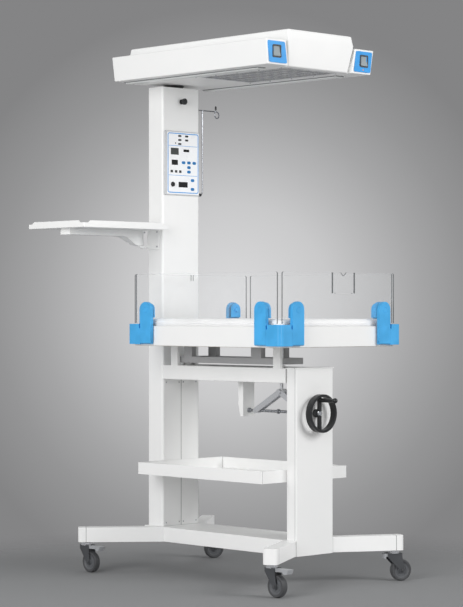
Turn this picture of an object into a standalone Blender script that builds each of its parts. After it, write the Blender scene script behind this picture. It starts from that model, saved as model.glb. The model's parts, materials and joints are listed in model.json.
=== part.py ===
"""Infant radiant warmer on a wheeled base, modelled piece by piece.

Metres, +Z up.  The front of the warmer faces -Y, the viewer's left is -X, X = 0 is the plane
between the two columns and Z = 0 is the floor.  Every moving piece hangs from an empty on its
own joint axis.  At the end the whole warmer is shifted so that the middle of its floor
rectangle is the world origin.
"""
from math import acos, cos, pi, radians, sin, tan

import bmesh
import bpy
from mathutils import Matrix, Vector

# Clearances
GAP = 0.0003
PIN_GAP = 0.0004

# Casters, 75 mm, each braked by its own pedal
WHEEL_RADIUS = 0.0375
WHEEL_WIDTH = 0.024
AXLE_RADIUS = 0.004
CASTER_TRAIL = 0.026
CASTER_HEIGHT = 0.1076
FORK_WALL = 0.0025
FORK_SIDE_GAP = 0.0015
FORK_BOSS_RADIUS = 0.0095
CROWN_RADIUS = 0.0175
CROWN_TOP = 0.098
CROWN_BOTTOM = 0.082
STEM_RADIUS = 0.0055
STEM_LENGTH = 0.026
PEDAL_AXIS_OUT = 0.0225
PEDAL_AXIS_Z = 0.0905
PEDAL_KNUCKLE = 0.006
PEDAL_PIN_RADIUS = 0.0025
PEDAL_LONG_REACH = 0.086
PEDAL_SHORT_REACH = 0.042
LEFT_CASTER_TURN = radians(0)
RIGHT_CASTER_TURN = radians(67)

# Base
BASE_HEIGHT = 0.0524
BASE_HALF_WIDTH = 0.100
BASE_REAR_Y = 0.510
BASE_EDGE = 0.003
LEG_WIDTH = 0.050
LEG_CORNER = 0.013
FRONT_LEG_ANGLE = radians(30.5)
FRONT_LEG_LENGTH = 0.258
FRONT_LEG_START_Y = -0.248
REAR_LEG_ANGLE = radians(39.5)
REAR_LEG_LENGTH = 0.3075
REAR_LEG_START_Y = 0.404
CASTER_INSET = 0.0302

# Front column, a folded channel open to the rear
FRONT_COLUMN_HALF = 0.0898
FRONT_COLUMN_Y = -0.251
FRONT_COLUMN_DEPTH = 0.0463
FRONT_COLUMN_TOP = 0.7410
FRONT_COLUMN_DROP = 0.0011
FRONT_COLUMN_OPENING = 0.036
COLUMN_SHEET = 0.002
COLUMN_CORNER = 0.005
CAP_THICKNESS = 0.003
CAP_OVERHANG = 0.0015

# Rear column, a square tube with two covers low on its front
REAR_COLUMN_HALF = 0.0907
REAR_COLUMN_Y = 0.422
REAR_COLUMN_DEPTH = 0.0794
REAR_COLUMN_TOP = 1.745
REAR_COLUMN_SHEET = 0.0032
REAR_COLUMN_CORNER = 0.008
COVER_HALF = 0.083
COVER_SHEET = 0.0015
COVER_LEDGE = 0.008

# Control panel on the rear column
PANEL_HALF = 0.085
PANEL_LOW = 1.3555
PANEL_HEIGHT = 0.2325
PANEL_HIGH = PANEL_LOW + PANEL_HEIGHT
PANEL_DEPTH = 0.005
DISPLAY_RECESS = 0.0012

# Infusion pole on the right of the rear column
POLE_RADIUS = 0.0023
POLE_X = 0.110
POLE_Y = 0.427
POLE_BAR_Z = 1.671
POLE_LOW_Z = 1.361
POLE_BEND = 0.012
HOOK_X = 0.1796
HOOK_RADIUS = 0.0125
HOOK_RISE = 0.018
HOOK_TIP_Z = POLE_BAR_Z + HOOK_RISE
HOOK_OFFSET = 0.007

# Monitor shelf on the left of the rear column
SHELF_LEFT = -0.493
SHELF_RIGHT = -0.100
SHELF_FRONT = 0.382
SHELF_REAR = 0.688
SHELF_Z = 1.2275
SHELF_SHEET = 0.002
SHELF_LOW_RIM = 0.0155
SHELF_HIGH_RIM = 0.0235
SHELF_RIM_START = 0.020
SHELF_RIM_SLOPE = 0.010
ARM_PIN_X = -0.1085
ARM_PIN_Y = 0.517
ARM_PIN_RADIUS = 0.004
ARM_LEFT = -0.465
ARM_HALF_WIDTH = 0.026
ARM_DEPTH = 0.0225
ARM_FOOT_DROP = 0.0555
ARM_FOOT_Z = SHELF_Z - ARM_FOOT_DROP
ARM_GUSSET_X = -0.215
BRACKET_DROP = 0.015
BRACKET_RISE = 0.005
BRACKET_LOW = ARM_FOOT_Z - BRACKET_DROP
BRACKET_HIGH = SHELF_Z + BRACKET_RISE
BRACKET_FRONT_Y = 0.4374
BRACKET_SHEET = 0.003
LUG_THICKNESS = 0.006

# Storage tray between the columns
TRAY_HALF = 0.2095
TRAY_LOW = 0.3557
TRAY_HEIGHT = 0.0422
TRAY_SHEET = 0.002

# Bed beam between the columns, an upturned channel, with two rest posts
BEAM_HALF = 0.0907
BEAM_FRONT_Y = -0.198
BEAM_LOW = 0.691
BEAM_DEPTH = 0.051
BEAM_HIGH = BEAM_LOW + BEAM_DEPTH
BEAM_SHEET = 0.003
NECK_HALF = 0.060
NECK_EDGE = 0.008
POST_THICKNESS = 0.013
REAR_POST = (0.3429, 0.3774)
FRONT_POST = (-0.1724, -0.1392)
ROD_GUIDE_RADIUS = 0.013
ROD_GUIDE_HEIGHT = 0.006

# Tilt cradle under the bed
TILT_Y = 0.385
TILT_RISE = 0.0205
TILT_Z = BEAM_HIGH + TILT_RISE
TILT_PIN_RADIUS = 0.004
CRADLE_HALF = 0.070
CRADLE_RAIL = 0.022
CRADLE_FRONT_Y = -0.127
CRADLE_DROP = 0.0105
CRADLE_DEPTH = 0.022
CRADLE_LOW = TILT_Z - CRADLE_DROP
CRADLE_HIGH = CRADLE_LOW + CRADLE_DEPTH
CRADLE_KNUCKLE = 0.0085
LUG_HALF_GAP = 0.020
LUG_WIDTH = 0.008
FRONT_BLOCK = (-0.060, -0.010)
REAR_BLOCK = (0.290, 0.330)

# Screw jack under the beam
JACK_Z = 0.5885
SCREW_RADIUS = 0.0050
APEX_Y = -0.0915
LINK_LENGTH = 0.139
LINK_REST_ANGLE = radians(29.8)
LINK_HALF_WIDTH = 0.010
LINK_PLATE = 0.0025
NUT_HALF = 0.0085
NUT_LENGTH = 0.016
TRUNNION_RADIUS = 0.003
APEX_HOLE_GAP = 0.0030
BOLT_HEAD_RADIUS = 0.0090
ROD_RADIUS = 0.006
ROD_TIP_RADIUS = 0.0018
ROD_TIP_LENGTH = 0.004
ROD_HEAD = 0.004
JACK_BRACKET_HALF = 0.028
JACK_BRACKET_Y = (0.0713, 0.0953)
JACK_BRACKET_DROP = 0.0215
JACK_BRACKET_LOW = JACK_Z - JACK_BRACKET_DROP
JACK_BRACKET_CUT = (0.010, 0.042)
COLLAR_Y = -0.079
COLLAR_RADIUS = 0.0085
COLLAR_WIDTH = 0.006

# Handwheel on the front end of the screw
HANDWHEEL_RADIUS = 0.0655
RIM_THICKNESS = 0.009
RIM_DEPTH = 0.026
RIM_BACK = 0.017
HUB_RADIUS = 0.0145
HUB_BACK = 0.0023
HUB_FRONT = 0.022
SPOKE_WIDTH = 0.015
SPOKE_THICKNESS = 0.009
GRIP_ARM = 0.045
GRIP_RADIUS = 0.0072
GRIP_BALL_RADIUS = 0.0092
GRIP_LENGTH = 0.074
GRIP_PIN_RADIUS = 0.003

# Bed, mattress and side panels
BED_HALF_X = 0.297
BED_HALF_Y = 0.380
FOLD_INSET = 0.007
FOLD_LIFT = 0.0095
FOLD_PIN_RADIUS = 0.003
SKIRT_INSET = 0.010
BED_RISE = 0.074
SKIRT_LOW = BEAM_HIGH + BED_RISE
SKIRT_HEIGHT = 0.068
SKIRT_HIGH = SKIRT_LOW + SKIRT_HEIGHT
SKIRT_CORNER = 0.010
DECK_LIFT = 0.054
DECK_Z = SKIRT_LOW + DECK_LIFT
MATTRESS_THICKNESS = 0.039
MATTRESS_TOP = DECK_Z + MATTRESS_THICKNESS
MATTRESS_CORNER = 0.030
MATTRESS_EDGE = 0.009
BLOCK_LIFT = 0.0045
BLOCK_HEIGHT = 0.0705
BLOCK_LOW = SKIRT_LOW + BLOCK_LIFT
BLOCK_HIGH = BLOCK_LOW + BLOCK_HEIGHT
FOLD_Z = BLOCK_LOW + FOLD_LIFT
BLOCK_SLOT_WIDTH = 0.006
BLOCK_SLOT_DEPTH = 0.015
BRIDGE_REACH = 0.004
CLAMP_RISE = 0.077
CLAMP_TOP = BLOCK_HIGH + CLAMP_RISE
CLAMP_WIDTH = 0.054
CLAMP_KNUCKLE = 0.0085
SIDE_CLAMP_SETBACK = 0.096
END_CLAMP_SETBACK = 0.0845
SIDE_CLAMP_AT = BED_HALF_Y - SIDE_CLAMP_SETBACK
END_CLAMP_AT = BED_HALF_X - END_CLAMP_SETBACK
JAW_THICKNESS = 0.006
JAW_LIFT = 0.022
JAW_LOW = BLOCK_HIGH + JAW_LIFT
JAW_INSET = 0.005
KNOB_RADIUS = 0.009
KNOB_LENGTH = 0.008
CLAMP_SCREW_RADIUS = 0.004
ACRYLIC_THICKNESS = 0.006
ACRYLIC_INSET = 0.0094
ACRYLIC_LIFT = 0.003
ACRYLIC_HEIGHT = 0.172
ACRYLIC_LOW = BLOCK_HIGH + ACRYLIC_LIFT
ACRYLIC_HIGH = ACRYLIC_LOW + ACRYLIC_HEIGHT
SIDE_ACRYLIC_SETBACK = 0.031
END_ACRYLIC_SETBACK = 0.0235
SIDE_ACRYLIC_HALF = BED_HALF_Y - SIDE_ACRYLIC_SETBACK
END_ACRYLIC_HALF = BED_HALF_X - END_ACRYLIC_SETBACK
ACRYLIC_CORNER = 0.006
TUBE_GATE = (-0.0347, 0.0755)
TUBE_GATE_DEPTH = 0.070
TUBE_GATE_SLIT = 0.0025
TUBE_GATE_WEB = 0.012
TUBE_NOTCH = 0.014
REAR_NOTCH = (0.010, 0.022)

# Radiant head
HEAD_LIFT = 0.011
HEAD_SIDE_HEIGHT = 0.090
HEAD_ROOF_RISE = 0.035
HEAD_LOW = REAR_COLUMN_TOP + HEAD_LIFT
HEAD_CREASE = HEAD_LOW + HEAD_SIDE_HEIGHT
HEAD_HIGH = HEAD_CREASE + HEAD_ROOF_RISE
HEAD_FRONT_Y = -0.2817
HEAD_REAR_Y = 0.5267
HEAD_FRONT_LEAN = 0.015
HEAD_ROOF_LEAN = 0.0055
HEAD_HALF_LOW = 0.146
HEAD_HALF_CREASE = 0.1605
HEAD_HALF_HIGH = 0.155
SHELL_OUT_HIGH = 0.264
SHELL_LEAN = 0.012
SHELL_IN_HIGH = 0.168
SHELL_HEIGHT = 0.085
SHELL_HIGH = HEAD_LOW + SHELL_HEIGHT
SHELL_FRONT_Y = -0.2795
SHELL_REAR_Y = 0.500
SHELL_FRONT_LEAN = 0.003
SHELL_EDGE = 0.003
BRIDGE_HEIGHT = 0.044
BRIDGE_HIGH = HEAD_LOW + BRIDGE_HEIGHT
BRIDGE_SETBACK = 0.020
GRILLE_HALF = 0.125
GRILLE_FRONT_Y = -0.230
GRILLE_REAR_Y = 0.190
GRILLE_SHEET = 0.003
GRILLE_EDGE = 0.010
GRILLE_ROWS = 9
GRILLE_COLUMNS = 5
GRILLE_BAR = 0.006
CAVITY_ROOF = 0.008
CAVITY_HIGH = HEAD_CREASE - CAVITY_ROOF
HEATER_LIFT = 0.039
HEATER_Z = HEAD_LOW + HEATER_LIFT
HEATER_RADIUS = 0.006
HEATER_HALF_PITCH = 0.045
HEATER_ENDS = (-0.190, 0.150)
LAMP_X = 0.193
LAMP_HALF_WIDTH = 0.015
LAMP_DEPTH = 0.006
LAMP_ENDS = (-0.183, 0.490)
SWIVEL_Y = 0.4617
TURNTABLE_RADIUS = 0.038
SPIGOT_RADIUS = 0.015
SPIGOT_LENGTH = 0.030
SWITCH_HALF_X = 0.0165
SWITCH_HALF_Z = 0.0180
SWITCH_X = 0.214
SWITCH_DROP = 0.041
SWITCH_Z = SHELL_HIGH - SWITCH_DROP
SWITCH_DEPTH = 0.010
ROCKER_GAP = 0.0006
ROCKER_PROUD = 0.002
ROCKER_IN = 0.0045
ROCKER_SWING = radians(16)

# Head lock on the front of the rear column
LOCK_DROP = 0.050
LOCK_Z = REAR_COLUMN_TOP - LOCK_DROP
LOCK_KNOB_RADIUS = 0.0115
LOCK_KNOB_DEPTH = 0.010
LOCK_FRONT_Y = 0.399
LOCK_STEM_RADIUS = 0.0040
LOCK_STEM_IN = 0.012
LOCK_BUSH_RADIUS = 0.0090
LOCK_BUSH_DEPTH = 0.0045

# Places that follow from the sizes above
LEG_LOW = CASTER_HEIGHT
LEG_HIGH = LEG_LOW + BASE_HEIGHT
FRONT_COLUMN_REAR_Y = FRONT_COLUMN_Y + FRONT_COLUMN_DEPTH
FRONT_COLUMN_LOW = LEG_LOW - FRONT_COLUMN_DROP
REAR_COLUMN_REAR_Y = REAR_COLUMN_Y + REAR_COLUMN_DEPTH
LINK_FOOT = LINK_LENGTH * cos(LINK_REST_ANGLE)
APEX_Z = JACK_Z + LINK_LENGTH * sin(LINK_REST_ANGLE)
NUT_REAR_Y = APEX_Y + LINK_FOOT
NUT_FRONT_Y = APEX_Y - LINK_FOOT
FOLD_X = BED_HALF_X - FOLD_INSET
FOLD_Y = BED_HALF_Y - FOLD_INSET
SKIRT_X = FOLD_X - SKIRT_INSET
SKIRT_Y = FOLD_Y - SKIRT_INSET
ROCKER_Y = SHELL_FRONT_Y + ROCKER_IN

# Finishes: colour, roughness, metallic
FINISHES = {
    "white_paint": ((0.86, 0.87, 0.87), 0.40, 0.0),
    "grey_plastic": ((0.16, 0.17, 0.18), 0.50, 0.0),
    "black_plastic": ((0.03, 0.03, 0.03), 0.45, 0.0),
    "black_rubber": ((0.05, 0.05, 0.05), 0.70, 0.0),
    "blue_plastic": ((0.09, 0.40, 0.75), 0.38, 0.0),
    "clear_acrylic": ((0.88, 0.92, 0.93), 0.06, 0.0),
    "steel": ((0.62, 0.62, 0.62), 0.28, 1.0),
    "foam": ((0.90, 0.90, 0.89), 0.80, 0.0),
}

for old in list(bpy.data.objects):
    bpy.data.objects.remove(old, do_unlink=True)

parts = bpy.data.collections.new("infant_radiant_warmer")
cutters = bpy.data.collections.new("cutters")
for collection in (parts, cutters):
    bpy.context.scene.collection.children.link(collection)

pivots = {}


def pivot(name, place, parent=None, turn=0.0, own_frame=False):
    """Put an empty on a body's joint axis; own_frame bodies are drawn from the empty itself."""
    empty = bpy.data.objects.new(name + "_axis", None)
    empty.empty_display_size = 0.03
    parts.objects.link(empty)
    place = Vector(place)
    if parent is None:
        empty.location = place
    else:
        empty.parent, frame = pivots[parent]
        empty.location = place - frame
    empty.rotation_euler.z = turn
    pivots[name] = (empty, Vector() if own_frame else place)


def hang(shape, body):
    """Parent a shape, and the operands of its Booleans, to the empty of its body."""
    shape.parent, frame = pivots[body]
    shape.location = shape.location - frame
    for step in shape.modifiers:
        if step.type == "BOOLEAN":
            hang(step.object, body)


def part(shape, node, body, finish):
    """Name a shape as one piece of the warmer and give it its own finish."""
    shape.name = node
    shape.data.name = node
    colour, roughness, metallic = FINISHES[finish]
    material = bpy.data.materials.new(node + "_finish")
    material.use_nodes = True
    surface = material.node_tree.nodes["Principled BSDF"]
    surface.inputs["Base Color"].default_value = (*colour, 1.0)
    surface.inputs["Roughness"].default_value = roughness
    surface.inputs["Metallic"].default_value = metallic
    shape.data.materials.clear()
    shape.data.materials.append(material)
    shape.data.shade_smooth()
    shape.data.set_sharp_from_angle(angle=radians(35))
    cutters.objects.unlink(shape)
    parts.objects.link(shape)
    hang(shape, body)
    return shape


def shape_of(bm, centre=(0.0, 0.0, 0.0)):
    """Turn a bmesh into an object that waits among the cutters until it is used."""
    bmesh.ops.recalc_face_normals(bm, faces=bm.faces)
    mesh = bpy.data.meshes.new("shape")
    bm.to_mesh(mesh)
    bm.free()
    shape = bpy.data.objects.new("shape", mesh)
    shape.location = centre
    cutters.objects.link(shape)
    return shape


def combine(operation, shape, others):
    """Add one Boolean to shape for each of the others, which become hidden operands."""
    for other in others:
        step = shape.modifiers.new(operation.lower(), "BOOLEAN")
        step.operation = operation
        step.solver = "EXACT"
        step.object = other
        other.hide_render = True
        other.display_type = "WIRE"
    return shape


def cut(shape, *others):
    return combine("DIFFERENCE", shape, others)


def fuse(shape, *others):
    return combine("UNION", shape, others)


def common(shape, *others):
    return combine("INTERSECT", shape, others)


def soften(shape, width, segments=2, angle=40):
    """Round the sharp edges of a finished shape."""
    step = shape.modifiers.new("soften", "BEVEL")
    step.width = width
    step.segments = segments
    step.limit_method = "ANGLE"
    step.angle_limit = radians(angle)
    return shape


def block(low, high, radius=0.0, segments=2, upright_only=False):
    """A rectangular solid between two corners, with its edges rounded if asked."""
    low, high = Vector(low), Vector(high)
    bm = bmesh.new()
    bmesh.ops.create_cube(bm, size=1.0)
    bmesh.ops.scale(bm, vec=high - low, verts=bm.verts)
    if radius:
        edges = [e for e in bm.edges
                 if not upright_only or abs((e.verts[0].co - e.verts[1].co).z) > GAP]
        bmesh.ops.bevel(bm, geom=edges, offset=radius, segments=segments,
                        profile=0.5, affect="EDGES", material=-1)
    return shape_of(bm, (low + high) / 2)


def rod(start, end, radius, sides=16, end_radius=None):
    """A round bar, or a cone, from one point to another."""
    start, end = Vector(start), Vector(end)
    bm = bmesh.new()
    bmesh.ops.create_cone(bm, cap_ends=True, segments=sides, radius1=radius,
                          radius2=radius if end_radius is None else end_radius,
                          depth=(end - start).length)
    shape = shape_of(bm, (start + end) / 2)
    shape.rotation_euler = (end - start).to_track_quat("Z", "Y").to_euler()
    return shape


TURNS = {"Z": (0.0, 0.0, 0.0), "-Y": (pi / 2, 0.0, 0.0), "X": (0.0, pi / 2, 0.0)}


def turned(profile, centre, axis="Z", steps=32, ring=False):
    """Spin (radius, height) points, listed down the outer side, about an axis."""
    mesh = bpy.data.meshes.new("turned")
    count = len(profile)
    edges = [(i, (i + 1) % count) for i in range(count if ring else count - 1)]
    mesh.from_pydata([(radius, 0.0, height) for radius, height in profile], edges, [])
    shape = bpy.data.objects.new("turned", mesh)
    cutters.objects.link(shape)
    screw = shape.modifiers.new("turn", "SCREW")
    screw.steps = steps
    screw.render_steps = steps
    screw.use_merge_vertices = True
    screw.merge_threshold = 0.00001
    shape.rotation_euler = TURNS[axis]
    shape.location = centre
    return shape


def mesh_of(curve):
    """Read a curve as a welded closed mesh and drop the curve."""
    maker = bpy.data.objects.new("maker", curve)
    cutters.objects.link(maker)
    seen = maker.evaluated_get(bpy.context.evaluated_depsgraph_get())
    mesh = bpy.data.meshes.new_from_object(seen)
    bpy.data.objects.remove(maker, do_unlink=True)
    bpy.data.curves.remove(curve)
    bm = bmesh.new()
    bm.from_mesh(mesh)
    bpy.data.meshes.remove(mesh)
    bmesh.ops.remove_doubles(bm, verts=bm.verts, dist=0.000001)
    return bm


PLANES = {"XY": (0.0, 0.0, 0.0), "XZ": (pi / 2, 0.0, 0.0), "YZ": (pi / 2, 0.0, pi / 2)}


def prism(outline, low, high, plane="XY", holes=()):
    """Extrude a flat outline, with its holes, from low to high across its plane."""
    curve = bpy.data.curves.new("outline", "CURVE")
    curve.dimensions = "2D"
    curve.fill_mode = "BOTH"
    curve.extrude = (high - low) / 2
    for loop in (outline, *holes):
        spline = curve.splines.new("POLY")
        spline.points.add(len(loop) - 1)
        for point, (across, up) in zip(spline.points, loop):
            point.co = (across, up, 0.0, 1.0)
        spline.use_cyclic_u = True
    shape = shape_of(mesh_of(curve))
    shape.rotation_euler = PLANES[plane]
    middle = (low + high) / 2
    shape.location = {"XY": (0, 0, middle), "XZ": (0, middle, 0), "YZ": (middle, 0, 0)}[plane]
    return shape


def tube(points, radius, resolution=2):
    """A round wire or tube through a list of points, with closed ends."""
    curve = bpy.data.curves.new("wire", "CURVE")
    curve.dimensions = "3D"
    curve.bevel_depth = radius
    curve.bevel_resolution = resolution
    curve.use_fill_caps = True
    spline = curve.splines.new("POLY")
    spline.points.add(len(points) - 1)
    for point, place in zip(spline.points, points):
        point.co = (*place, 1.0)
    return shape_of(mesh_of(curve))


def arc(centre, radius, start, end, count):
    """Points along an arc in a plane, angles in degrees."""
    angles = [radians(start + (end - start) * i / count) for i in range(count + 1)]
    return [(centre[0] + radius * cos(a), centre[1] + radius * sin(a)) for a in angles]


def rounded(points, radius, segments=3):
    """Round the corners of an outline; radius is one value or one for each corner."""
    count = len(points)
    radii = radius if isinstance(radius, (list, tuple)) else [radius] * count
    outline = []
    for i, here in enumerate(points):
        here = Vector(here)
        before = (Vector(points[i - 1]) - here).normalized()
        after = (Vector(points[(i + 1) % count]) - here).normalized()
        if radii[i] == 0:
            outline.append(tuple(here))
            continue
        half = acos(max(-1.0, min(1.0, before.dot(after)))) / 2
        reach = radii[i] / tan(half)
        centre = here + (before + after).normalized() * (radii[i] / sin(half))
        start = here + before * reach - centre
        end = here + after * reach - centre
        for k in range(segments + 1):
            bend = start.lerp(end, k / segments)
            outline.append(tuple(centre + bend.normalized() * radii[i]))
    return outline


def rectangle(left, right, low, high):
    return [(left, low), (right, low), (right, high), (left, high)]


# Base
def leg_ends(start, angle, length, side):
    """The two end corners of a leg and its caster's swivel axis; side is the turn to its back."""
    along = Vector((cos(angle), sin(angle)))
    across = Vector((-sin(angle), cos(angle))) * LEG_WIDTH * side
    near = Vector(start) + along * length
    far = near + across
    swivel = (near + far) / 2 - along * CASTER_INSET
    return near, far, swivel, along


FRONT_LEG = leg_ends((FRONT_COLUMN_HALF + GAP, FRONT_LEG_START_Y), -FRONT_LEG_ANGLE,
                     FRONT_LEG_LENGTH, 1)
REAR_LEG = leg_ends((BASE_HALF_WIDTH, REAR_LEG_START_Y), REAR_LEG_ANGLE, REAR_LEG_LENGTH, 1)
CASTER_PLACES = {
    "front_left": (-FRONT_LEG[2].x, FRONT_LEG[2].y),
    "front_right": (FRONT_LEG[2].x, FRONT_LEG[2].y),
    "rear_left": (-REAR_LEG[2].x, REAR_LEG[2].y),
    "rear_right": (REAR_LEG[2].x, REAR_LEG[2].y),
}


def base_frame():
    """The welded base in plan, with a notch for the front column and rounded leg ends."""
    root_y = FRONT_LEG[1].y + (FRONT_LEG[1].x - BASE_HALF_WIDTH) * tan(FRONT_LEG_ANGLE)
    back_y = REAR_LEG[1].y - (REAR_LEG[1].x - BASE_HALF_WIDTH) * tan(REAR_LEG_ANGLE)
    half = [
        (FRONT_COLUMN_HALF + GAP, FRONT_COLUMN_REAR_Y + GAP, 0),
        (FRONT_COLUMN_HALF + GAP, FRONT_LEG_START_Y, 0),
        (*FRONT_LEG[0], LEG_CORNER),
        (*FRONT_LEG[1], LEG_CORNER),
        (BASE_HALF_WIDTH, root_y, 0),
        (BASE_HALF_WIDTH, REAR_LEG_START_Y, 0),
        (*REAR_LEG[0], LEG_CORNER),
        (*REAR_LEG[1], LEG_CORNER),
        (BASE_HALF_WIDTH, back_y, 0),
        (BASE_HALF_WIDTH, BASE_REAR_Y, 0),
    ]
    whole = half + [(-x, y, r) for x, y, r in reversed(half)]
    outline = rounded([(x, y) for x, y, _ in whole], [r for _, _, r in whole], 4)
    base = prism(outline, LEG_LOW, LEG_HIGH)
    soften(base, BASE_EDGE, 1, 60)
    for x, y in CASTER_PLACES.values():
        socket = rod((x, y, LEG_LOW - GAP), (x, y, LEG_LOW + STEM_LENGTH + GAP),
                     STEM_RADIUS + PIN_GAP, 12)
        cut(base, socket)
    part(base, "base_frame", "stand", "white_paint")


# Casters
def pedal_reach(side):
    return PEDAL_LONG_REACH if side < 0 else PEDAL_SHORT_REACH


def caster(corner, turn, side):
    """One caster in its own frame: wheel trailing toward -Y, pedal on the side given."""
    x, y = CASTER_PLACES[corner]
    swivel = "caster_" + corner
    wheel_body = "wheel_" + corner
    pedal_body = "pedal_" + corner
    pivot(swivel, (x, y, 0), "stand", turn=turn, own_frame=True)
    pivot(wheel_body, (0, -CASTER_TRAIL, WHEEL_RADIUS), swivel)
    pivot(pedal_body, (0, side * PEDAL_AXIS_OUT, PEDAL_AXIS_Z), swivel)

    inner = WHEEL_WIDTH / 2 + FORK_SIDE_GAP
    outer = inner + FORK_WALL
    cheek = arc((-CASTER_TRAIL, WHEEL_RADIUS), FORK_BOSS_RADIUS, 180, 360, 8)
    ear = PEDAL_AXIS_OUT + PEDAL_KNUCKLE
    front = CROWN_RADIUS + 0.001 if side < 0 else ear
    back = -ear if side < 0 else -CASTER_TRAIL
    low = PEDAL_AXIS_Z - PEDAL_KNUCKLE
    cheek += [(front, low), (front, CROWN_TOP), (back, CROWN_TOP), (back, low)]
    fork = prism(cheek, -outer, outer, "YZ")
    slot_back = -CROWN_RADIUS + 0.002 if side < 0 else -BASE_HALF_WIDTH
    slot_front = CROWN_RADIUS - 0.002 if side > 0 else BASE_HALF_WIDTH
    wheel_slot = block((-inner, -BASE_HALF_WIDTH, -GAP), (inner, BASE_HALF_WIDTH, CROWN_BOTTOM))
    if side < 0:
        pedal_slot = block((-inner, -BASE_HALF_WIDTH, 0), (inner, slot_back, CASTER_HEIGHT))
    else:
        pedal_slot = block((-inner, slot_front, 0), (inner, BASE_HALF_WIDTH, CASTER_HEIGHT))
    cut(fork, wheel_slot, pedal_slot)
    axle = rod((-inner - GAP, -CASTER_TRAIL, WHEEL_RADIUS),
               (inner + GAP, -CASTER_TRAIL, WHEEL_RADIUS), AXLE_RADIUS, 12)
    pin = rod((-inner - GAP, side * PEDAL_AXIS_OUT, PEDAL_AXIS_Z),
              (inner + GAP, side * PEDAL_AXIS_OUT, PEDAL_AXIS_Z), PEDAL_PIN_RADIUS, 10)
    housing_top = CASTER_HEIGHT - 0.0025
    housing = turned([(0, CASTER_HEIGHT + STEM_LENGTH), (STEM_RADIUS, CASTER_HEIGHT + STEM_LENGTH),
                      (STEM_RADIUS, housing_top), (CROWN_RADIUS - 0.002, housing_top),
                      (CROWN_RADIUS, housing_top - 0.002), (CROWN_RADIUS, CROWN_TOP - 0.002),
                      (0, CROWN_TOP - 0.002)], (0, 0, 0), steps=20)
    fuse(fork, axle, pin, housing)
    part(fork, "caster_fork_" + corner, swivel, "grey_plastic")

    half = WHEEL_WIDTH / 2
    tread = WHEEL_RADIUS
    bore = AXLE_RADIUS + PIN_GAP
    wheel = turned([(tread - 0.004, half - 0.002), (tread, half - 0.006), (tread, 0.006 - half),
                    (tread - 0.004, 0.002 - half), (tread - 0.010, 0.002 - half),
                    (tread - 0.012, 0.005 - half), (0.013, 0.005 - half), (0.011, -half),
                    (bore, -half), (bore, half), (0.011, half), (0.013, half - 0.005),
                    (tread - 0.012, half - 0.005), (tread - 0.010, half - 0.002)],
                   (0, -CASTER_TRAIL, WHEEL_RADIUS), "X", 24, ring=True)
    part(wheel, "caster_wheel_" + corner, wheel_body, "black_rubber")

    reach = pedal_reach(side)
    span = reach - PEDAL_AXIS_OUT
    tip = PEDAL_AXIS_Z + 0.006
    knuckle = arc((PEDAL_AXIS_OUT, PEDAL_AXIS_Z), PEDAL_KNUCKLE - 0.0005, 100, 290, 6)
    lever = knuckle + [(reach - span * 0.4, PEDAL_AXIS_Z - 0.004),
                       (reach - span * 0.3, PEDAL_AXIS_Z - 0.012),
                       (reach - span * 0.1, PEDAL_AXIS_Z - 0.010), (reach, tip - 0.004), (reach, tip)]
    lever = [(side * along, up) for along, up in lever]
    width = inner - PIN_GAP
    pedal = prism(lever, -width, width, "YZ")
    bearing = rod((-outer, side * PEDAL_AXIS_OUT, PEDAL_AXIS_Z),
                  (outer, side * PEDAL_AXIS_OUT, PEDAL_AXIS_Z), PEDAL_PIN_RADIUS + PIN_GAP, 10)
    cut(pedal, bearing)
    part(pedal, "brake_pedal_" + corner, pedal_body, "grey_plastic")


# Columns
def front_column():
    """A folded channel that wraps the front of the base, open to the rear, with its cap."""
    x, front, rear = FRONT_COLUMN_HALF, FRONT_COLUMN_Y, FRONT_COLUMN_REAR_Y
    sheet, lip = COLUMN_SHEET, FRONT_COLUMN_OPENING
    outline = [(-lip, rear), (-x, rear), (-x, front), (x, front), (x, rear), (lip, rear),
               (lip, rear - sheet), (x - sheet, rear - sheet), (x - sheet, front + sheet),
               (sheet - x, front + sheet), (sheet - x, rear - sheet), (-lip, rear - sheet)]
    fold = sheet * 0.7
    radii = [0, fold, COLUMN_CORNER, COLUMN_CORNER, fold, 0] + [0] * 6
    column = prism(rounded(outline, radii, 2), FRONT_COLUMN_LOW, FRONT_COLUMN_TOP)
    cap = block((-x - CAP_OVERHANG, front - CAP_OVERHANG, FRONT_COLUMN_TOP - GAP),
                (x + CAP_OVERHANG, rear, FRONT_COLUMN_TOP + CAP_THICKNESS))
    bore = rod((0, front - GAP * 10, JACK_Z), (0, front + BASE_HEIGHT, JACK_Z),
               SCREW_RADIUS + PIN_GAP, 16)
    boss = rod((0, front + sheet / 2, JACK_Z), (0, front + sheet * 5, JACK_Z), SCREW_RADIUS * 2, 16)
    fuse(column, cap, boss)
    cut(column, bore)
    part(column, "front_column", "stand", "white_paint")


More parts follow.
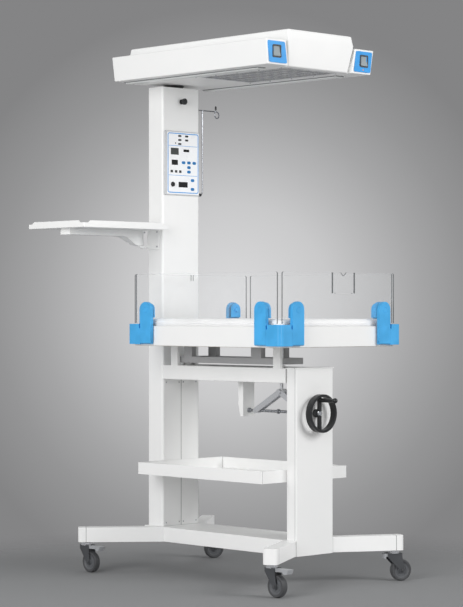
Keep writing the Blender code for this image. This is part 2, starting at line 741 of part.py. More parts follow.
def rear_column():
    """A tube, closed at the top, with a ledged opening low on its front for two covers."""
    x, front, rear = REAR_COLUMN_HALF, REAR_COLUMN_Y, REAR_COLUMN_REAR_Y
    sheet = REAR_COLUMN_SHEET
    column = block((-x, front, LEG_HIGH + GAP), (x, rear, REAR_COLUMN_TOP),
                   REAR_COLUMN_CORNER, 3, upright_only=True)
    inside = block((sheet - x, front + sheet, LEG_HIGH - GAP * 10),
                   (x - sheet, rear - sheet, REAR_COLUMN_TOP - sheet * 2))
    seat_high = BEAM_LOW - GAP
    recess = block((-COVER_HALF - GAP, front - sheet, LEG_HIGH - GAP),
                   (COVER_HALF + GAP, front + COVER_SHEET + GAP, seat_high))
    window = block((COVER_LEDGE - COVER_HALF, front - sheet, LEG_HIGH - GAP * 5),
                   (COVER_HALF - COVER_LEDGE, front + sheet * 2, seat_high - COVER_LEDGE))
    lock_hole = rod((0, front - sheet, LOCK_Z), (0, front + sheet * 2, LOCK_Z),
                    LOCK_STEM_RADIUS + PIN_GAP, 12)
    cut(column, inside, recess, window, lock_hole)
    part(column, "rear_column", "stand", "white_paint")
    for side, name in ((-1, "left"), (1, "right")):
        edges = sorted((side * GAP, side * COVER_HALF))
        cover = block((edges[0], front, LEG_HIGH + GAP * 2),
                      (edges[1], front + COVER_SHEET, seat_high - GAP))
        part(cover, "lower_cover_" + name, "stand", "white_paint")


def control_panel():
    """A thin front plate with recessed display windows, screwed to the rear column."""
    back = REAR_COLUMN_Y - GAP
    front = back - PANEL_DEPTH
    height = PANEL_HIGH - PANEL_LOW
    plate = block((-PANEL_HALF, front, PANEL_LOW), (PANEL_HALF, back, PANEL_HIGH), 0.0015, 1)
    windows = [(-0.65, -0.19, 0.630, 0.735), (0.08, 0.42, 0.680, 0.720),
               (-0.60, -0.24, 0.470, 0.550), (-0.20, 0.33, 0.125, 0.210)]
    for left, right, low, high in windows:
        window = block((left * PANEL_HALF, front - DISPLAY_RECESS, PANEL_LOW + low * height),
                       (right * PANEL_HALF, front + DISPLAY_RECESS, PANEL_LOW + high * height))
        cut(plate, window)
    part(plate, "control_panel", "stand", "white_paint")


def infusion_pole():
    """A bent wire rod fixed to the column's right face at both ends, with a curled hook."""
    start = REAR_COLUMN_HALF + GAP
    bar = [(start, POLE_Y, POLE_BAR_Z), (HOOK_X, POLE_Y, POLE_BAR_Z)]
    centre_z = POLE_BAR_Z - HOOK_RADIUS
    curl = arc((HOOK_X, centre_z), HOOK_RADIUS, 70, -190, 13)
    for k, (x, z) in enumerate(curl):
        bar.append((x, POLE_Y - HOOK_OFFSET * (k + 1) / len(curl), z))
    bar.append((HOOK_X - HOOK_RADIUS * 0.6, POLE_Y - HOOK_OFFSET, HOOK_TIP_Z))
    upright = [(POLE_X, POLE_Y, POLE_BAR_Z)]
    for x, z in arc((POLE_X - POLE_BEND, POLE_LOW_Z + POLE_BEND), POLE_BEND, 0, -90, 4):
        upright.append((x, POLE_Y, z))
    upright.append((start, POLE_Y, POLE_LOW_Z))
    pole = fuse(tube(bar, POLE_RADIUS, 1), tube(upright, POLE_RADIUS, 1))
    part(pole, "infusion_pole", "stand", "steel")


# Monitor shelf
def monitor_shelf():
    """A sheet tray with a stepped rim, its swing arm, and the bracket with the hinge pin."""
    floor = SHELF_Z
    low_rim = floor + SHELF_LOW_RIM
    high_rim = floor + SHELF_HIGH_RIM
    tray = block((SHELF_LEFT, SHELF_FRONT, floor), (SHELF_RIGHT, SHELF_REAR, low_rim),
                 0.003, 2, upright_only=True)
    pocket = block((SHELF_LEFT + SHELF_SHEET, SHELF_FRONT + SHELF_SHEET, floor + SHELF_SHEET),
                   (SHELF_RIGHT - SHELF_SHEET, SHELF_REAR - SHELF_SHEET, high_rim))
    cut(tray, pocket)

    def raised(start, end):
        slope = SHELF_RIM_START + SHELF_RIM_SLOPE
        return [(start + SHELF_RIM_START, low_rim - SHELF_SHEET), (end - SHELF_RIM_START, low_rim - SHELF_SHEET),
                (end - SHELF_RIM_START, low_rim), (end - slope, high_rim),
                (start + slope, high_rim), (start + SHELF_RIM_START, low_rim)]

    for y in (SHELF_FRONT, SHELF_REAR - SHELF_SHEET):
        fuse(tray, prism(raised(SHELF_LEFT, SHELF_RIGHT), y, y + SHELF_SHEET, "XZ"))
    for x in (SHELF_LEFT, SHELF_RIGHT - SHELF_SHEET):
        fuse(tray, prism(raised(SHELF_FRONT, SHELF_REAR), x, x + SHELF_SHEET, "YZ"))
    part(tray, "monitor_tray", "shelf", "white_paint")

    top = SHELF_Z - GAP
    low = top - ARM_DEPTH
    end = ARM_PIN_X + ARM_PIN_RADIUS * 1.9
    sweep = [(ARM_GUSSET_X + (ARM_PIN_X - 0.022 - ARM_GUSSET_X) * t,
              low + (ARM_FOOT_Z - low) * (3 * t * t - 2 * t * t * t)) for t in (0, 0.2, 0.4, 0.6, 0.8, 1)]
    outline = [(ARM_LEFT, top), (ARM_LEFT, low)] + sweep + [(end, ARM_FOOT_Z), (end, top)]
    arm = prism(outline, ARM_PIN_Y - ARM_HALF_WIDTH, ARM_PIN_Y + ARM_HALF_WIDTH, "XZ")
    nose = ARM_PIN_RADIUS * 1.9
    plan = [(ARM_LEFT, -ARM_HALF_WIDTH), (ARM_GUSSET_X, -ARM_HALF_WIDTH)]
    plan += [(ARM_PIN_X + nose * cos(radians(a)), nose * sin(radians(a))) for a in range(-70, 71, 28)]
    plan += [(ARM_GUSSET_X, ARM_HALF_WIDTH), (ARM_LEFT, ARM_HALF_WIDTH)]
    plan = [(x, y + ARM_PIN_Y) for x, y in plan]
    common(arm, prism(plan, ARM_FOOT_Z - GAP, top + GAP))
    eye = rod((ARM_PIN_X, ARM_PIN_Y, ARM_FOOT_Z - GAP), (ARM_PIN_X, ARM_PIN_Y, top - 0.010),
              ARM_PIN_RADIUS + PIN_GAP, 14)
    cut(arm, eye)
    part(arm, "monitor_arm", "shelf", "white_paint")

    face = -REAR_COLUMN_HALF - GAP
    plate = block((face - BRACKET_SHEET, BRACKET_FRONT_Y, BRACKET_LOW),
                  (face, REAR_COLUMN_REAR_Y, BRACKET_HIGH), 0.001, 1)
    lug_top = ARM_FOOT_Z - GAP
    lug_nose = 0.010
    lug_plan = [(face, REAR_COLUMN_REAR_Y - 0.040), (face, REAR_COLUMN_REAR_Y)]
    lug_plan += [(ARM_PIN_X + lug_nose * cos(radians(a)), ARM_PIN_Y + lug_nose * sin(radians(a)))
                 for a in range(60, 221, 32)]
    lug = prism(lug_plan, lug_top - LUG_THICKNESS, lug_top)
    pin = rod((ARM_PIN_X, ARM_PIN_Y, lug_top - LUG_THICKNESS / 2), (ARM_PIN_X, ARM_PIN_Y, top - 0.012),
              ARM_PIN_RADIUS, 14)
    nut = rod((ARM_PIN_X, ARM_PIN_Y, lug_top - LUG_THICKNESS - 0.004),
              (ARM_PIN_X, ARM_PIN_Y, lug_top - LUG_THICKNESS / 2), ARM_PIN_RADIUS * 1.7, 6)
    fuse(plate, lug, pin, nut)
    part(plate, "monitor_bracket", "stand", "white_paint")


# Storage tray
def storage_tray():
    front = FRONT_COLUMN_REAR_Y + GAP
    rear = REAR_COLUMN_Y - GAP
    tray = block((-TRAY_HALF, front, TRAY_LOW), (TRAY_HALF, rear, TRAY_LOW + TRAY_HEIGHT),
                 0.002, 1, upright_only=True)
    pocket = block((TRAY_SHEET - TRAY_HALF, front + TRAY_SHEET, TRAY_LOW + TRAY_SHEET),
                   (TRAY_HALF - TRAY_SHEET, rear - TRAY_SHEET, TRAY_LOW + TRAY_HEIGHT * 2))
    cut(tray, pocket)
    part(tray, "storage_tray", "stand", "white_paint")


# Bed beam and tilt cradle
def bed_beam():
    """An upturned channel with end plates, rest posts, cradle lugs and the rod guide."""
    rear = REAR_COLUMN_Y - GAP
    beam = block((-BEAM_HALF, BEAM_FRONT_Y, BEAM_LOW), (BEAM_HALF, rear, BEAM_HIGH), 0.002, 1)
    hollow = block((BEAM_SHEET - BEAM_HALF, BEAM_FRONT_Y + BEAM_SHEET, BEAM_LOW - BEAM_SHEET),
                   (BEAM_HALF - BEAM_SHEET, rear - BEAM_SHEET, BEAM_HIGH - BEAM_SHEET))
    cut(beam, hollow)
    neck = block((-NECK_HALF, FRONT_COLUMN_REAR_Y + GAP, BEAM_LOW + NECK_EDGE),
                 (NECK_HALF, BEAM_FRONT_Y + BEAM_SHEET / 2, BEAM_HIGH - NECK_EDGE))
    fuse(beam, neck)
    post_top = SKIRT_LOW - GAP
    for start, end in (FRONT_POST, REAR_POST):
        post = block((-BEAM_HALF, start, BEAM_HIGH - BEAM_SHEET),
                     (POST_THICKNESS - BEAM_HALF, end, post_top))
        fuse(beam, post)
    lug_radius = CRADLE_KNUCKLE
    lug_outline = [(TILT_Y + lug_radius, BEAM_HIGH - BEAM_SHEET / 2)]
    lug_outline += arc((TILT_Y, TILT_Z), lug_radius, 0, 180, 8)
    lug_outline += [(TILT_Y - lug_radius, BEAM_HIGH - BEAM_SHEET / 2)]
    for side in (-1, 1):
        edges = sorted((side * LUG_HALF_GAP, side * (LUG_HALF_GAP + LUG_WIDTH)))
        fuse(beam, prism(lug_outline, edges[0], edges[1], "YZ"))
    reach = LUG_HALF_GAP + LUG_WIDTH / 2
    pin = rod((-reach, TILT_Y, TILT_Z), (reach, TILT_Y, TILT_Z), TILT_PIN_RADIUS, 12)
    guide = rod((0, APEX_Y, BEAM_HIGH - BEAM_SHEET / 2), (0, APEX_Y, BEAM_HIGH + ROD_GUIDE_HEIGHT),
                ROD_GUIDE_RADIUS, 20)
    fuse(beam, pin, guide)
    cut(beam, rod((0, APEX_Y, BEAM_LOW), (0, APEX_Y, SKIRT_LOW), ROD_RADIUS + PIN_GAP, 16))
    part(beam, "bed_beam", "stand", "white_paint")


def tilt_cradle():
    """A window frame under the bed, with a knuckle on the tilt pin and two spacer blocks."""
    x, rail = CRADLE_HALF, CRADLE_RAIL
    knuckle_front = TILT_Y - CRADLE_KNUCKLE * 2.4
    window = rectangle(rail - x, x - rail, CRADLE_FRONT_Y + rail, knuckle_front - rail)
    cradle = prism(rectangle(-x, x, CRADLE_FRONT_Y, knuckle_front), CRADLE_LOW, CRADLE_HIGH,
                   holes=(window,))
    tongue = LUG_HALF_GAP - PIN_GAP
    outline = [(knuckle_front - GAP * 3, CRADLE_LOW + GAP)]
    outline += arc((TILT_Y, TILT_Z), CRADLE_KNUCKLE, -90, 90, 8)
    outline += [(knuckle_front - GAP * 3, CRADLE_HIGH - GAP)]
    knuckle = prism(outline, -tongue, tongue, "YZ")
    top = SKIRT_LOW - GAP
    blocks = []
    for start, end in (FRONT_BLOCK, REAR_BLOCK):
        for side in (-1, 1):
            edges = sorted((side * (x - rail + GAP * 2), side * (x - GAP * 2)))
            blocks.append(block((edges[0], start, CRADLE_HIGH - GAP), (edges[1], end, top)))
    bore = rod((-tongue * 2, TILT_Y, TILT_Z), (tongue * 2, TILT_Y, TILT_Z),
               TILT_PIN_RADIUS + PIN_GAP, 12)
    fuse(cradle, knuckle, *blocks)
    cut(cradle, bore)
    part(cradle, "tilt_cradle", "bed", "white_paint")


# Screw jack
def jack_bracket():
    front, rear = JACK_BRACKET_Y
    low = JACK_BRACKET_LOW
    high = BEAM_HIGH - BEAM_SHEET - GAP
    chamfer_in, chamfer_up = JACK_BRACKET_CUT
    side = [(front, low), (rear - chamfer_in, low), (rear, low + chamfer_up), (rear, high), (front, high)]
    bracket = prism(side, -JACK_BRACKET_HALF, JACK_BRACKET_HALF, "YZ")
    cut(bracket, rod((0, front - GAP, JACK_Z), (0, rear + GAP, JACK_Z), SCREW_RADIUS + PIN_GAP, 16))
    part(bracket, "jack_bracket", "stand", "white_paint")


def lead_screw():
    """The screw from the handwheel to the bracket, with its thrust collars."""
    front = FRONT_COLUMN_Y - HUB_FRONT
    rear = JACK_BRACKET_Y[1] + 0.006
    thrust = JACK_BRACKET_Y[0] - GAP
    inner_face = FRONT_COLUMN_Y + COLUMN_SHEET * 5 + GAP
    outline = [(SCREW_RADIUS, 0)]
    for y, width in ((thrust - COLLAR_WIDTH, COLLAR_WIDTH), (COLLAR_Y, COLLAR_WIDTH),
                     (inner_face, COLLAR_WIDTH)):
        start = rear - y - width
        end = rear - y
        outline += [(SCREW_RADIUS, start), (COLLAR_RADIUS, start), (COLLAR_RADIUS, end),
                    (SCREW_RADIUS, end)]
    length = rear - front
    outline = [(0, 0)] + outline + [(SCREW_RADIUS, length), (0, length)]
    profile = [(radius, along) for radius, along in reversed(outline)]
    screw = turned(profile, (0, rear, JACK_Z), "-Y", 16)
    part(screw, "lead_screw", "screw", "steel")


def jack_nut(name, y):
    """A square nut with a trunnion on each side for its link."""
    reach = NUT_HALF + 2 * (LINK_PLATE + PIN_GAP) + PIN_GAP
    nut = block((-NUT_HALF, y - NUT_LENGTH / 2, JACK_Z - NUT_HALF),
                (NUT_HALF, y + NUT_LENGTH / 2, JACK_Z + NUT_HALF), 0.001, 1)
    for side in (-1, 1):
        fuse(nut, rod((side * (NUT_HALF - PIN_GAP * 3), y, JACK_Z), (side * reach, y, JACK_Z),
                      TRUNNION_RADIUS, 12))
    cut(nut, rod((0, y - NUT_LENGTH, JACK_Z), (0, y + NUT_LENGTH, JACK_Z),
                 SCREW_RADIUS + PIN_GAP, 16))
    part(nut, name, name, "steel")


def jack_link(name, foot_y, inner):
    """A yoke of two bars with round ends and a spacer, from a nut up to the apex pin."""
    rise = APEX_Z - JACK_Z
    run = APEX_Y - foot_y
    along = Vector((run, rise)).normalized()
    square = Vector((-along.y, along.x))
    foot, head = Vector((foot_y, JACK_Z)), Vector((APEX_Y, APEX_Z))
    outline = []
    for centre, start in ((foot, 90), (head, -90)):
        for k in range(9):
            angle = radians(start + 180 * k / 8)
            point = centre + (along * cos(angle) + square * sin(angle)) * LINK_HALF_WIDTH
            outline.append(tuple(point))
    apex_hole = TRUNNION_RADIUS + APEX_HOLE_GAP
    holes = (arc(foot, TRUNNION_RADIUS + PIN_GAP, 0, 330, 11), arc(head, apex_hole, 0, 337.5, 15))
    bars = [prism(outline, edges[0], edges[1], "YZ", holes)
            for edges in (sorted((side * inner, side * (inner + LINK_PLATE))) for side in (-1, 1))]
    middle = foot.lerp(head, 0.42)
    reach = inner + LINK_PLATE / 2
    spacer = rod((-reach, *middle), (reach, *middle), LINK_HALF_WIDTH * 0.42, 12)
    link = fuse(bars[0], spacer, bars[1])
    part(link, name, name, "steel")


def push_rod():
    """The rod that lifts the bed on its tapered tip, its end block, and the headed apex pin."""
    half = NUT_HALF
    reach = NUT_HALF + 2 * (LINK_PLATE + PIN_GAP) + PIN_GAP
    end = block((-half, APEX_Y - half, APEX_Z - half), (half, APEX_Y + half, APEX_Z + half), 0.001, 1)
    top = SKIRT_LOW - GAP - APEX_Z
    shaft = turned([(0, top), (ROD_TIP_RADIUS, top), (ROD_RADIUS, top - ROD_TIP_LENGTH),
                    (ROD_RADIUS, 0), (0, 0)], (0, APEX_Y, APEX_Z), steps=16)
    fuse(end, shaft)
    for side in (-1, 1):
        pin = rod((side * (half - PIN_GAP * 3), APEX_Y, APEX_Z),
                  (side * (reach + ROD_HEAD / 4), APEX_Y, APEX_Z), TRUNNION_RADIUS, 12)
        head = rod((side * reach, APEX_Y, APEX_Z),
                   (side * (reach + ROD_HEAD), APEX_Y, APEX_Z), BOLT_HEAD_RADIUS, 12)
        fuse(end, pin, head)
    part(end, "push_rod", "push_rod", "steel")


def handwheel():
    """A deep-rimmed wheel with two spokes and the pin for its crank grip."""
    y0 = FRONT_COLUMN_Y
    rim_out, rim_in = HANDWHEEL_RADIUS, HANDWHEEL_RADIUS - RIM_THICKNESS
    near, far = RIM_BACK + RIM_DEPTH, RIM_BACK
    chamfer = RIM_THICKNESS / 4
    rim = turned([(rim_out - chamfer, near), (rim_out, near - chamfer), (rim_out, far + chamfer),
                  (rim_out - chamfer, far), (rim_in + chamfer, far), (rim_in, far + chamfer),
                  (rim_in, near - chamfer), (rim_in + chamfer, near)],
                 (0, y0, JACK_Z), "-Y", 32, ring=True)
    hub = turned([(0, HUB_FRONT - 0.001), (HUB_RADIUS - 0.002, HUB_FRONT - 0.001), (HUB_RADIUS, HUB_FRONT - 0.003),
                  (HUB_RADIUS, HUB_BACK), (0, HUB_BACK)], (0, y0, JACK_Z), "-Y", 20)
    bore = rod((0, y0, JACK_Z), (0, y0 - HUB_FRONT * 2, JACK_Z), SCREW_RADIUS + PIN_GAP, 16)
    spoke_reach = rim_in + RIM_THICKNESS / 3
    spoke_y = y0 - RIM_BACK
    spokes = [block((-SPOKE_WIDTH / 2, spoke_y - SPOKE_THICKNESS, JACK_Z + low),
                    (SPOKE_WIDTH / 2, spoke_y + SPOKE_THICKNESS * 0.2, JACK_Z + high), 0.002, 1)
              for low, high in ((HUB_RADIUS / 2, spoke_reach), (-spoke_reach, -HUB_RADIUS / 2))]
    post_y = spoke_y - SPOKE_THICKNESS / 2
    grip_z = JACK_Z + GRIP_ARM
    boss_y = spoke_y - SPOKE_THICKNESS - 0.002
    boss = rod((0, post_y, grip_z), (0, boss_y, grip_z), GRIP_RADIUS, 16)
    pin = rod((0, post_y, grip_z), (0, boss_y - GRIP_LENGTH * 0.7, grip_z), GRIP_PIN_RADIUS, 10)
    fuse(hub, *spokes, rim, boss, pin)
    cut(hub, bore)
    part(hub, "handwheel", "screw", "black_plastic")

    start = -boss_y + GAP + FRONT_COLUMN_Y
    ball = start + GRIP_LENGTH - GRIP_BALL_RADIUS
    hole = GRIP_PIN_RADIUS + PIN_GAP
    profile = [(0, ball + GRIP_BALL_RADIUS)]
    for degrees in range(72, -37, -18):
        profile.append((GRIP_BALL_RADIUS * cos(radians(degrees)), ball + GRIP_BALL_RADIUS * sin(radians(degrees))))
    neck = ball - GRIP_BALL_RADIUS
    profile += [(GRIP_RADIUS * 0.86, neck), (GRIP_RADIUS, neck - 0.015), (GRIP_RADIUS, start + 0.003),
                (GRIP_RADIUS * 0.8, start), (hole, start), (hole, start + GRIP_LENGTH * 0.72),
                (0, start + GRIP_LENGTH * 0.72)]
    grip = turned(profile, (0, y0, grip_z), "-Y", 20)
    part(grip, "crank_grip", "crank", "black_plastic")


# Bed
def bed_frame():
    """The skirted bed deck with a shallow well for the mattress."""
    frame = block((-SKIRT_X, -SKIRT_Y, SKIRT_LOW), (SKIRT_X, SKIRT_Y, SKIRT_HIGH),
                  SKIRT_CORNER, 3, upright_only=True)
    half_x, half_y = mattress_half()
    well = block((-half_x - GAP, -half_y - GAP, DECK_Z), (half_x + GAP, half_y + GAP, SKIRT_HIGH + DECK_Z),
                 MATTRESS_CORNER, 4, upright_only=True)
    cut(frame, well)
    part(frame, "bed_frame", "bed", "white_paint")


def mattress_half():
    inner = ACRYLIC_INSET + ACRYLIC_THICKNESS / 2 + GAP + JAW_THICKNESS + 0.001
    return FOLD_X - inner, FOLD_Y - inner


def mattress():
    half_x, half_y = mattress_half()
    pad = block((-half_x, -half_y, DECK_Z + GAP), (half_x, half_y, MATTRESS_TOP),
                MATTRESS_CORNER, 4, upright_only=True)
    soften(pad, MATTRESS_EDGE, 2, 60)
    part(pad, "mattress", "bed", "foam")


def corner_block(side_x, side_y):
    """A moulded corner with a cove at its middle, slots at its ends and two hinge pins."""
    inner_x, inner_y = SKIRT_X + GAP, SKIRT_Y + GAP
    end_x = END_CLAMP_AT + CLAMP_WIDTH / 2 + GAP
    end_y = SIDE_CLAMP_AT + CLAMP_WIDTH / 2 + GAP
    lobe = 0.008
    x, y = BED_HALF_X, BED_HALF_Y
    lobes = arc((x - lobe, y - lobe * 2), lobe, 0, 80, 4) + arc((x - lobe * 2, y - lobe), lobe, 10, 90, 4)
    corner = SKIRT_CORNER
    outline = [(inner_x, end_y), (x, end_y)] + lobes + [(end_x, y), (end_x, inner_y)]
    outline += arc((inner_x - corner - GAP, inner_y - corner - GAP), corner + GAP, 90, 0, 6)
    outline = [(px * side_x, py * side_y) for px, py in outline]
    solid = prism(outline, BLOCK_LOW, BLOCK_HIGH)
    slot_low = BLOCK_HIGH - BLOCK_SLOT_DEPTH
    for axis, end in ((0, end_x), (1, end_y)):
        low = [0, 0, slot_low]
        high = [0, 0, BLOCK_HIGH * 2]
        side = (side_x, side_y)
        across = 1 - axis
        low[axis], high[axis] = sorted((side[axis] * (end - GAP * 10), side[axis] * (end + BLOCK_SLOT_WIDTH)))
        outer = (BED_HALF_X, BED_HALF_Y)[across] + 0.001
        inner = (inner_x, inner_y)[across] + 0.009
        low[across], high[across] = sorted((side[across] * inner, side[across] * outer))
        cut(solid, block(low, high))
    return solid, end_x, end_y


def clamp_upright(centre, fixed=False):
    """A clamp in its panel's frame: outward is -Y, the fold pin runs along X at the origin."""
    half = CLAMP_WIDTH / 2
    left, right = centre - half, centre + half
    top = CLAMP_TOP - FOLD_Z
    face = ACRYLIC_INSET - ACRYLIC_THICKNESS / 2 - GAP
    low = BLOCK_LOW - FOLD_Z if fixed else -CLAMP_KNUCKLE * 1.2
    front_view = [(left, low)] + [(right, low)] + arc((centre, top - half), half, 0, 180, 12)
    arm = prism(front_view, -BED_HALF_Y, BED_HALF_Y, "XZ")
    if fixed:
        side_view = rectangle(-FOLD_INSET, face, low - GAP, top + GAP)
    else:
        side_view = [(-FOLD_INSET, top + GAP), (-FOLD_INSET, -CLAMP_KNUCKLE * 0.3)]
        side_view += arc((0, 0), CLAMP_KNUCKLE, 215, 316, 6)
        side_view += [(face, -CLAMP_KNUCKLE * 0.3), (face, top + GAP)]
    common(arm, prism(side_view, left - GAP, right + GAP, "YZ"))
    disc_z = top - half
    inner_face = ACRYLIC_INSET + ACRYLIC_THICKNESS / 2 + GAP
    jaw_back = inner_face + JAW_THICKNESS
    jaw_half = half - JAW_INSET
    jaw_view = [(centre - jaw_half, JAW_LOW - FOLD_Z), (centre + jaw_half, JAW_LOW - FOLD_Z)]
    jaw_view += arc((centre, disc_z), jaw_half, 0, 180, 10)
    jaw = prism(jaw_view, inner_face, jaw_back, "XZ")
    screw = rod((centre, face - GAP * 10, disc_z), (centre, inner_face + GAP * 10, disc_z),
                CLAMP_SCREW_RADIUS, 12)
    knob = rod((centre, jaw_back - GAP, disc_z), (centre, jaw_back + KNOB_LENGTH, disc_z),
               KNOB_RADIUS, 16, KNOB_RADIUS * 0.85)
    fuse(arm, screw, jaw, knob)
    if not fixed:
        cut(arm, rod((left - half, 0, 0), (right + half, 0, 0), FOLD_PIN_RADIUS + PIN_GAP, 10))
    return arm


def acrylic(half, clamp_at):
    """A clear panel in its frame, with a hole for each clamp screw."""
    low, high = ACRYLIC_LOW - FOLD_Z, ACRYLIC_HIGH - FOLD_Z
    near = ACRYLIC_INSET - ACRYLIC_THICKNESS / 2
    far = near + ACRYLIC_THICKNESS
    outline = rounded(rectangle(-half, half, low, high), [0, 0, ACRYLIC_CORNER, ACRYLIC_CORNER], 2)
    disc_z = CLAMP_TOP - FOLD_Z - CLAMP_WIDTH / 2
    holes = [arc((side * clamp_at, disc_z), CLAMP_SCREW_RADIUS + PIN_GAP, 0, 330, 11) for side in (-1, 1)]
    return prism(outline, near, far, "XZ", holes)


def side_panels():
    """Left, right and front panels fold outward on their pins; the rear one stays up."""
    frames = {
        "left": ((-FOLD_X, 0, FOLD_Z), radians(-90), SIDE_ACRYLIC_HALF, SIDE_CLAMP_AT),
        "right": ((FOLD_X, 0, FOLD_Z), radians(90), SIDE_ACRYLIC_HALF, SIDE_CLAMP_AT),
        "front": ((0, -FOLD_Y, FOLD_Z), 0.0, END_ACRYLIC_HALF, END_CLAMP_AT),
        "rear": ((0, FOLD_Y, FOLD_Z), pi, END_ACRYLIC_HALF, END_CLAMP_AT),
    }
    ends = {"left": ("rear", "front"), "right": ("front", "rear"), "front": ("left", "right")}
    for name, (place, turn, half, clamp_at) in frames.items():
        body = "panel_" + name
        pivot(body, place, "bed", turn=turn, own_frame=True)
        clear = acrylic(half, clamp_at)
        if name == "front":
            tube_gate(clear)
        if name == "rear":
            width, depth = REAR_NOTCH
            top = ACRYLIC_HIGH - FOLD_Z
            cut(clear, block((-width / 2, 0, top - depth), (width / 2, FOLD_INSET * 3, top + depth)))
        part(clear, "clear_panel_" + name, body, "clear_acrylic")
        if name in ends:
            for side, end in zip((-1, 1), ends[name]):
                part(clamp_upright(side * clamp_at), "clamp_" + name + "_" + end, body, "blue_plastic")


def tube_gate(clear):
    """A sprung gate in the front panel: two slits, a part slit between them and a V notch."""
    left, right = TUBE_GATE
    top = ACRYLIC_HIGH - FOLD_Z
    low = top - TUBE_GATE_DEPTH
    slit = TUBE_GATE_SLIT
    for x in (left, right - slit):
        cut(clear, block((x, 0, low), (x + slit, FOLD_INSET * 3, top + slit)))
    middle = (left + right) / 2
    cut(clear, block((left + slit + TUBE_GATE_WEB, 0, low - slit / 2),
                     (right - slit - TUBE_GATE_WEB, FOLD_INSET * 3, low + slit / 2)))
    notch = [(middle - TUBE_NOTCH, top + GAP), (middle, top - TUBE_NOTCH * 0.9), (middle + TUBE_NOTCH, top + GAP)]
    cut(clear, prism(notch, 0, FOLD_INSET * 3, "XZ"))


def bed_corners():
    """Front corners carry the hinge pins; rear corners also carry the rear panel's clamps."""
    for end_name, side_y in (("front", -1), ("rear", 1)):
        for side_name, side_x in (("left", -1), ("right", 1)):
            name = "corner_block_" + end_name + "_" + side_name
            solid, end_x, end_y = corner_block(side_x, side_y)
            x, y = side_x * FOLD_X, side_y * FOLD_Y
            side_pin = rod((x, side_y * (end_y + 0.006), FOLD_Z),
                           (x, side_y * (end_y - CLAMP_WIDTH + 0.002), FOLD_Z), FOLD_PIN_RADIUS, 10)
            fuse(solid, side_pin)
            if side_y < 0:
                end_pin = rod((side_x * (end_x + 0.006), y, FOLD_Z),
                              (side_x * (end_x - CLAMP_WIDTH + 0.002), y, FOLD_Z), FOLD_PIN_RADIUS, 10)
                fuse(solid, end_pin)
            else:
                fixed = clamp_upright(-side_x * END_CLAMP_AT, fixed=True)
                turn_to_rear(fixed)
                ends = sorted((side_x * (end_x - BRIDGE_REACH), side_x * (end_x + BRIDGE_REACH)))
                bridge = block((ends[0], FOLD_Y - FOLD_INSET / 2, BLOCK_LOW + BRIDGE_REACH),
                               (ends[1], FOLD_Y + FOLD_INSET / 2, BLOCK_HIGH - BLOCK_SLOT_DEPTH - BRIDGE_REACH))
                fuse(solid, fixed, bridge)
            part(solid, name, "bed", "blue_plastic")


def turn_to_rear(shape):
    """Bring a shape drawn in a panel's frame to its fixed place at the rear of the bed."""
    half_turn = Matrix.Rotation(pi, 3, "Z")
    for piece in [shape] + [step.object for step in shape.modifiers if step.type == "BOOLEAN"]:
        x, y, z = piece.location
        piece.location = (-x, FOLD_Y - y, FOLD_Z + z)
        piece.rotation_euler = (half_turn @ piece.rotation_euler.to_matrix()).to_euler()


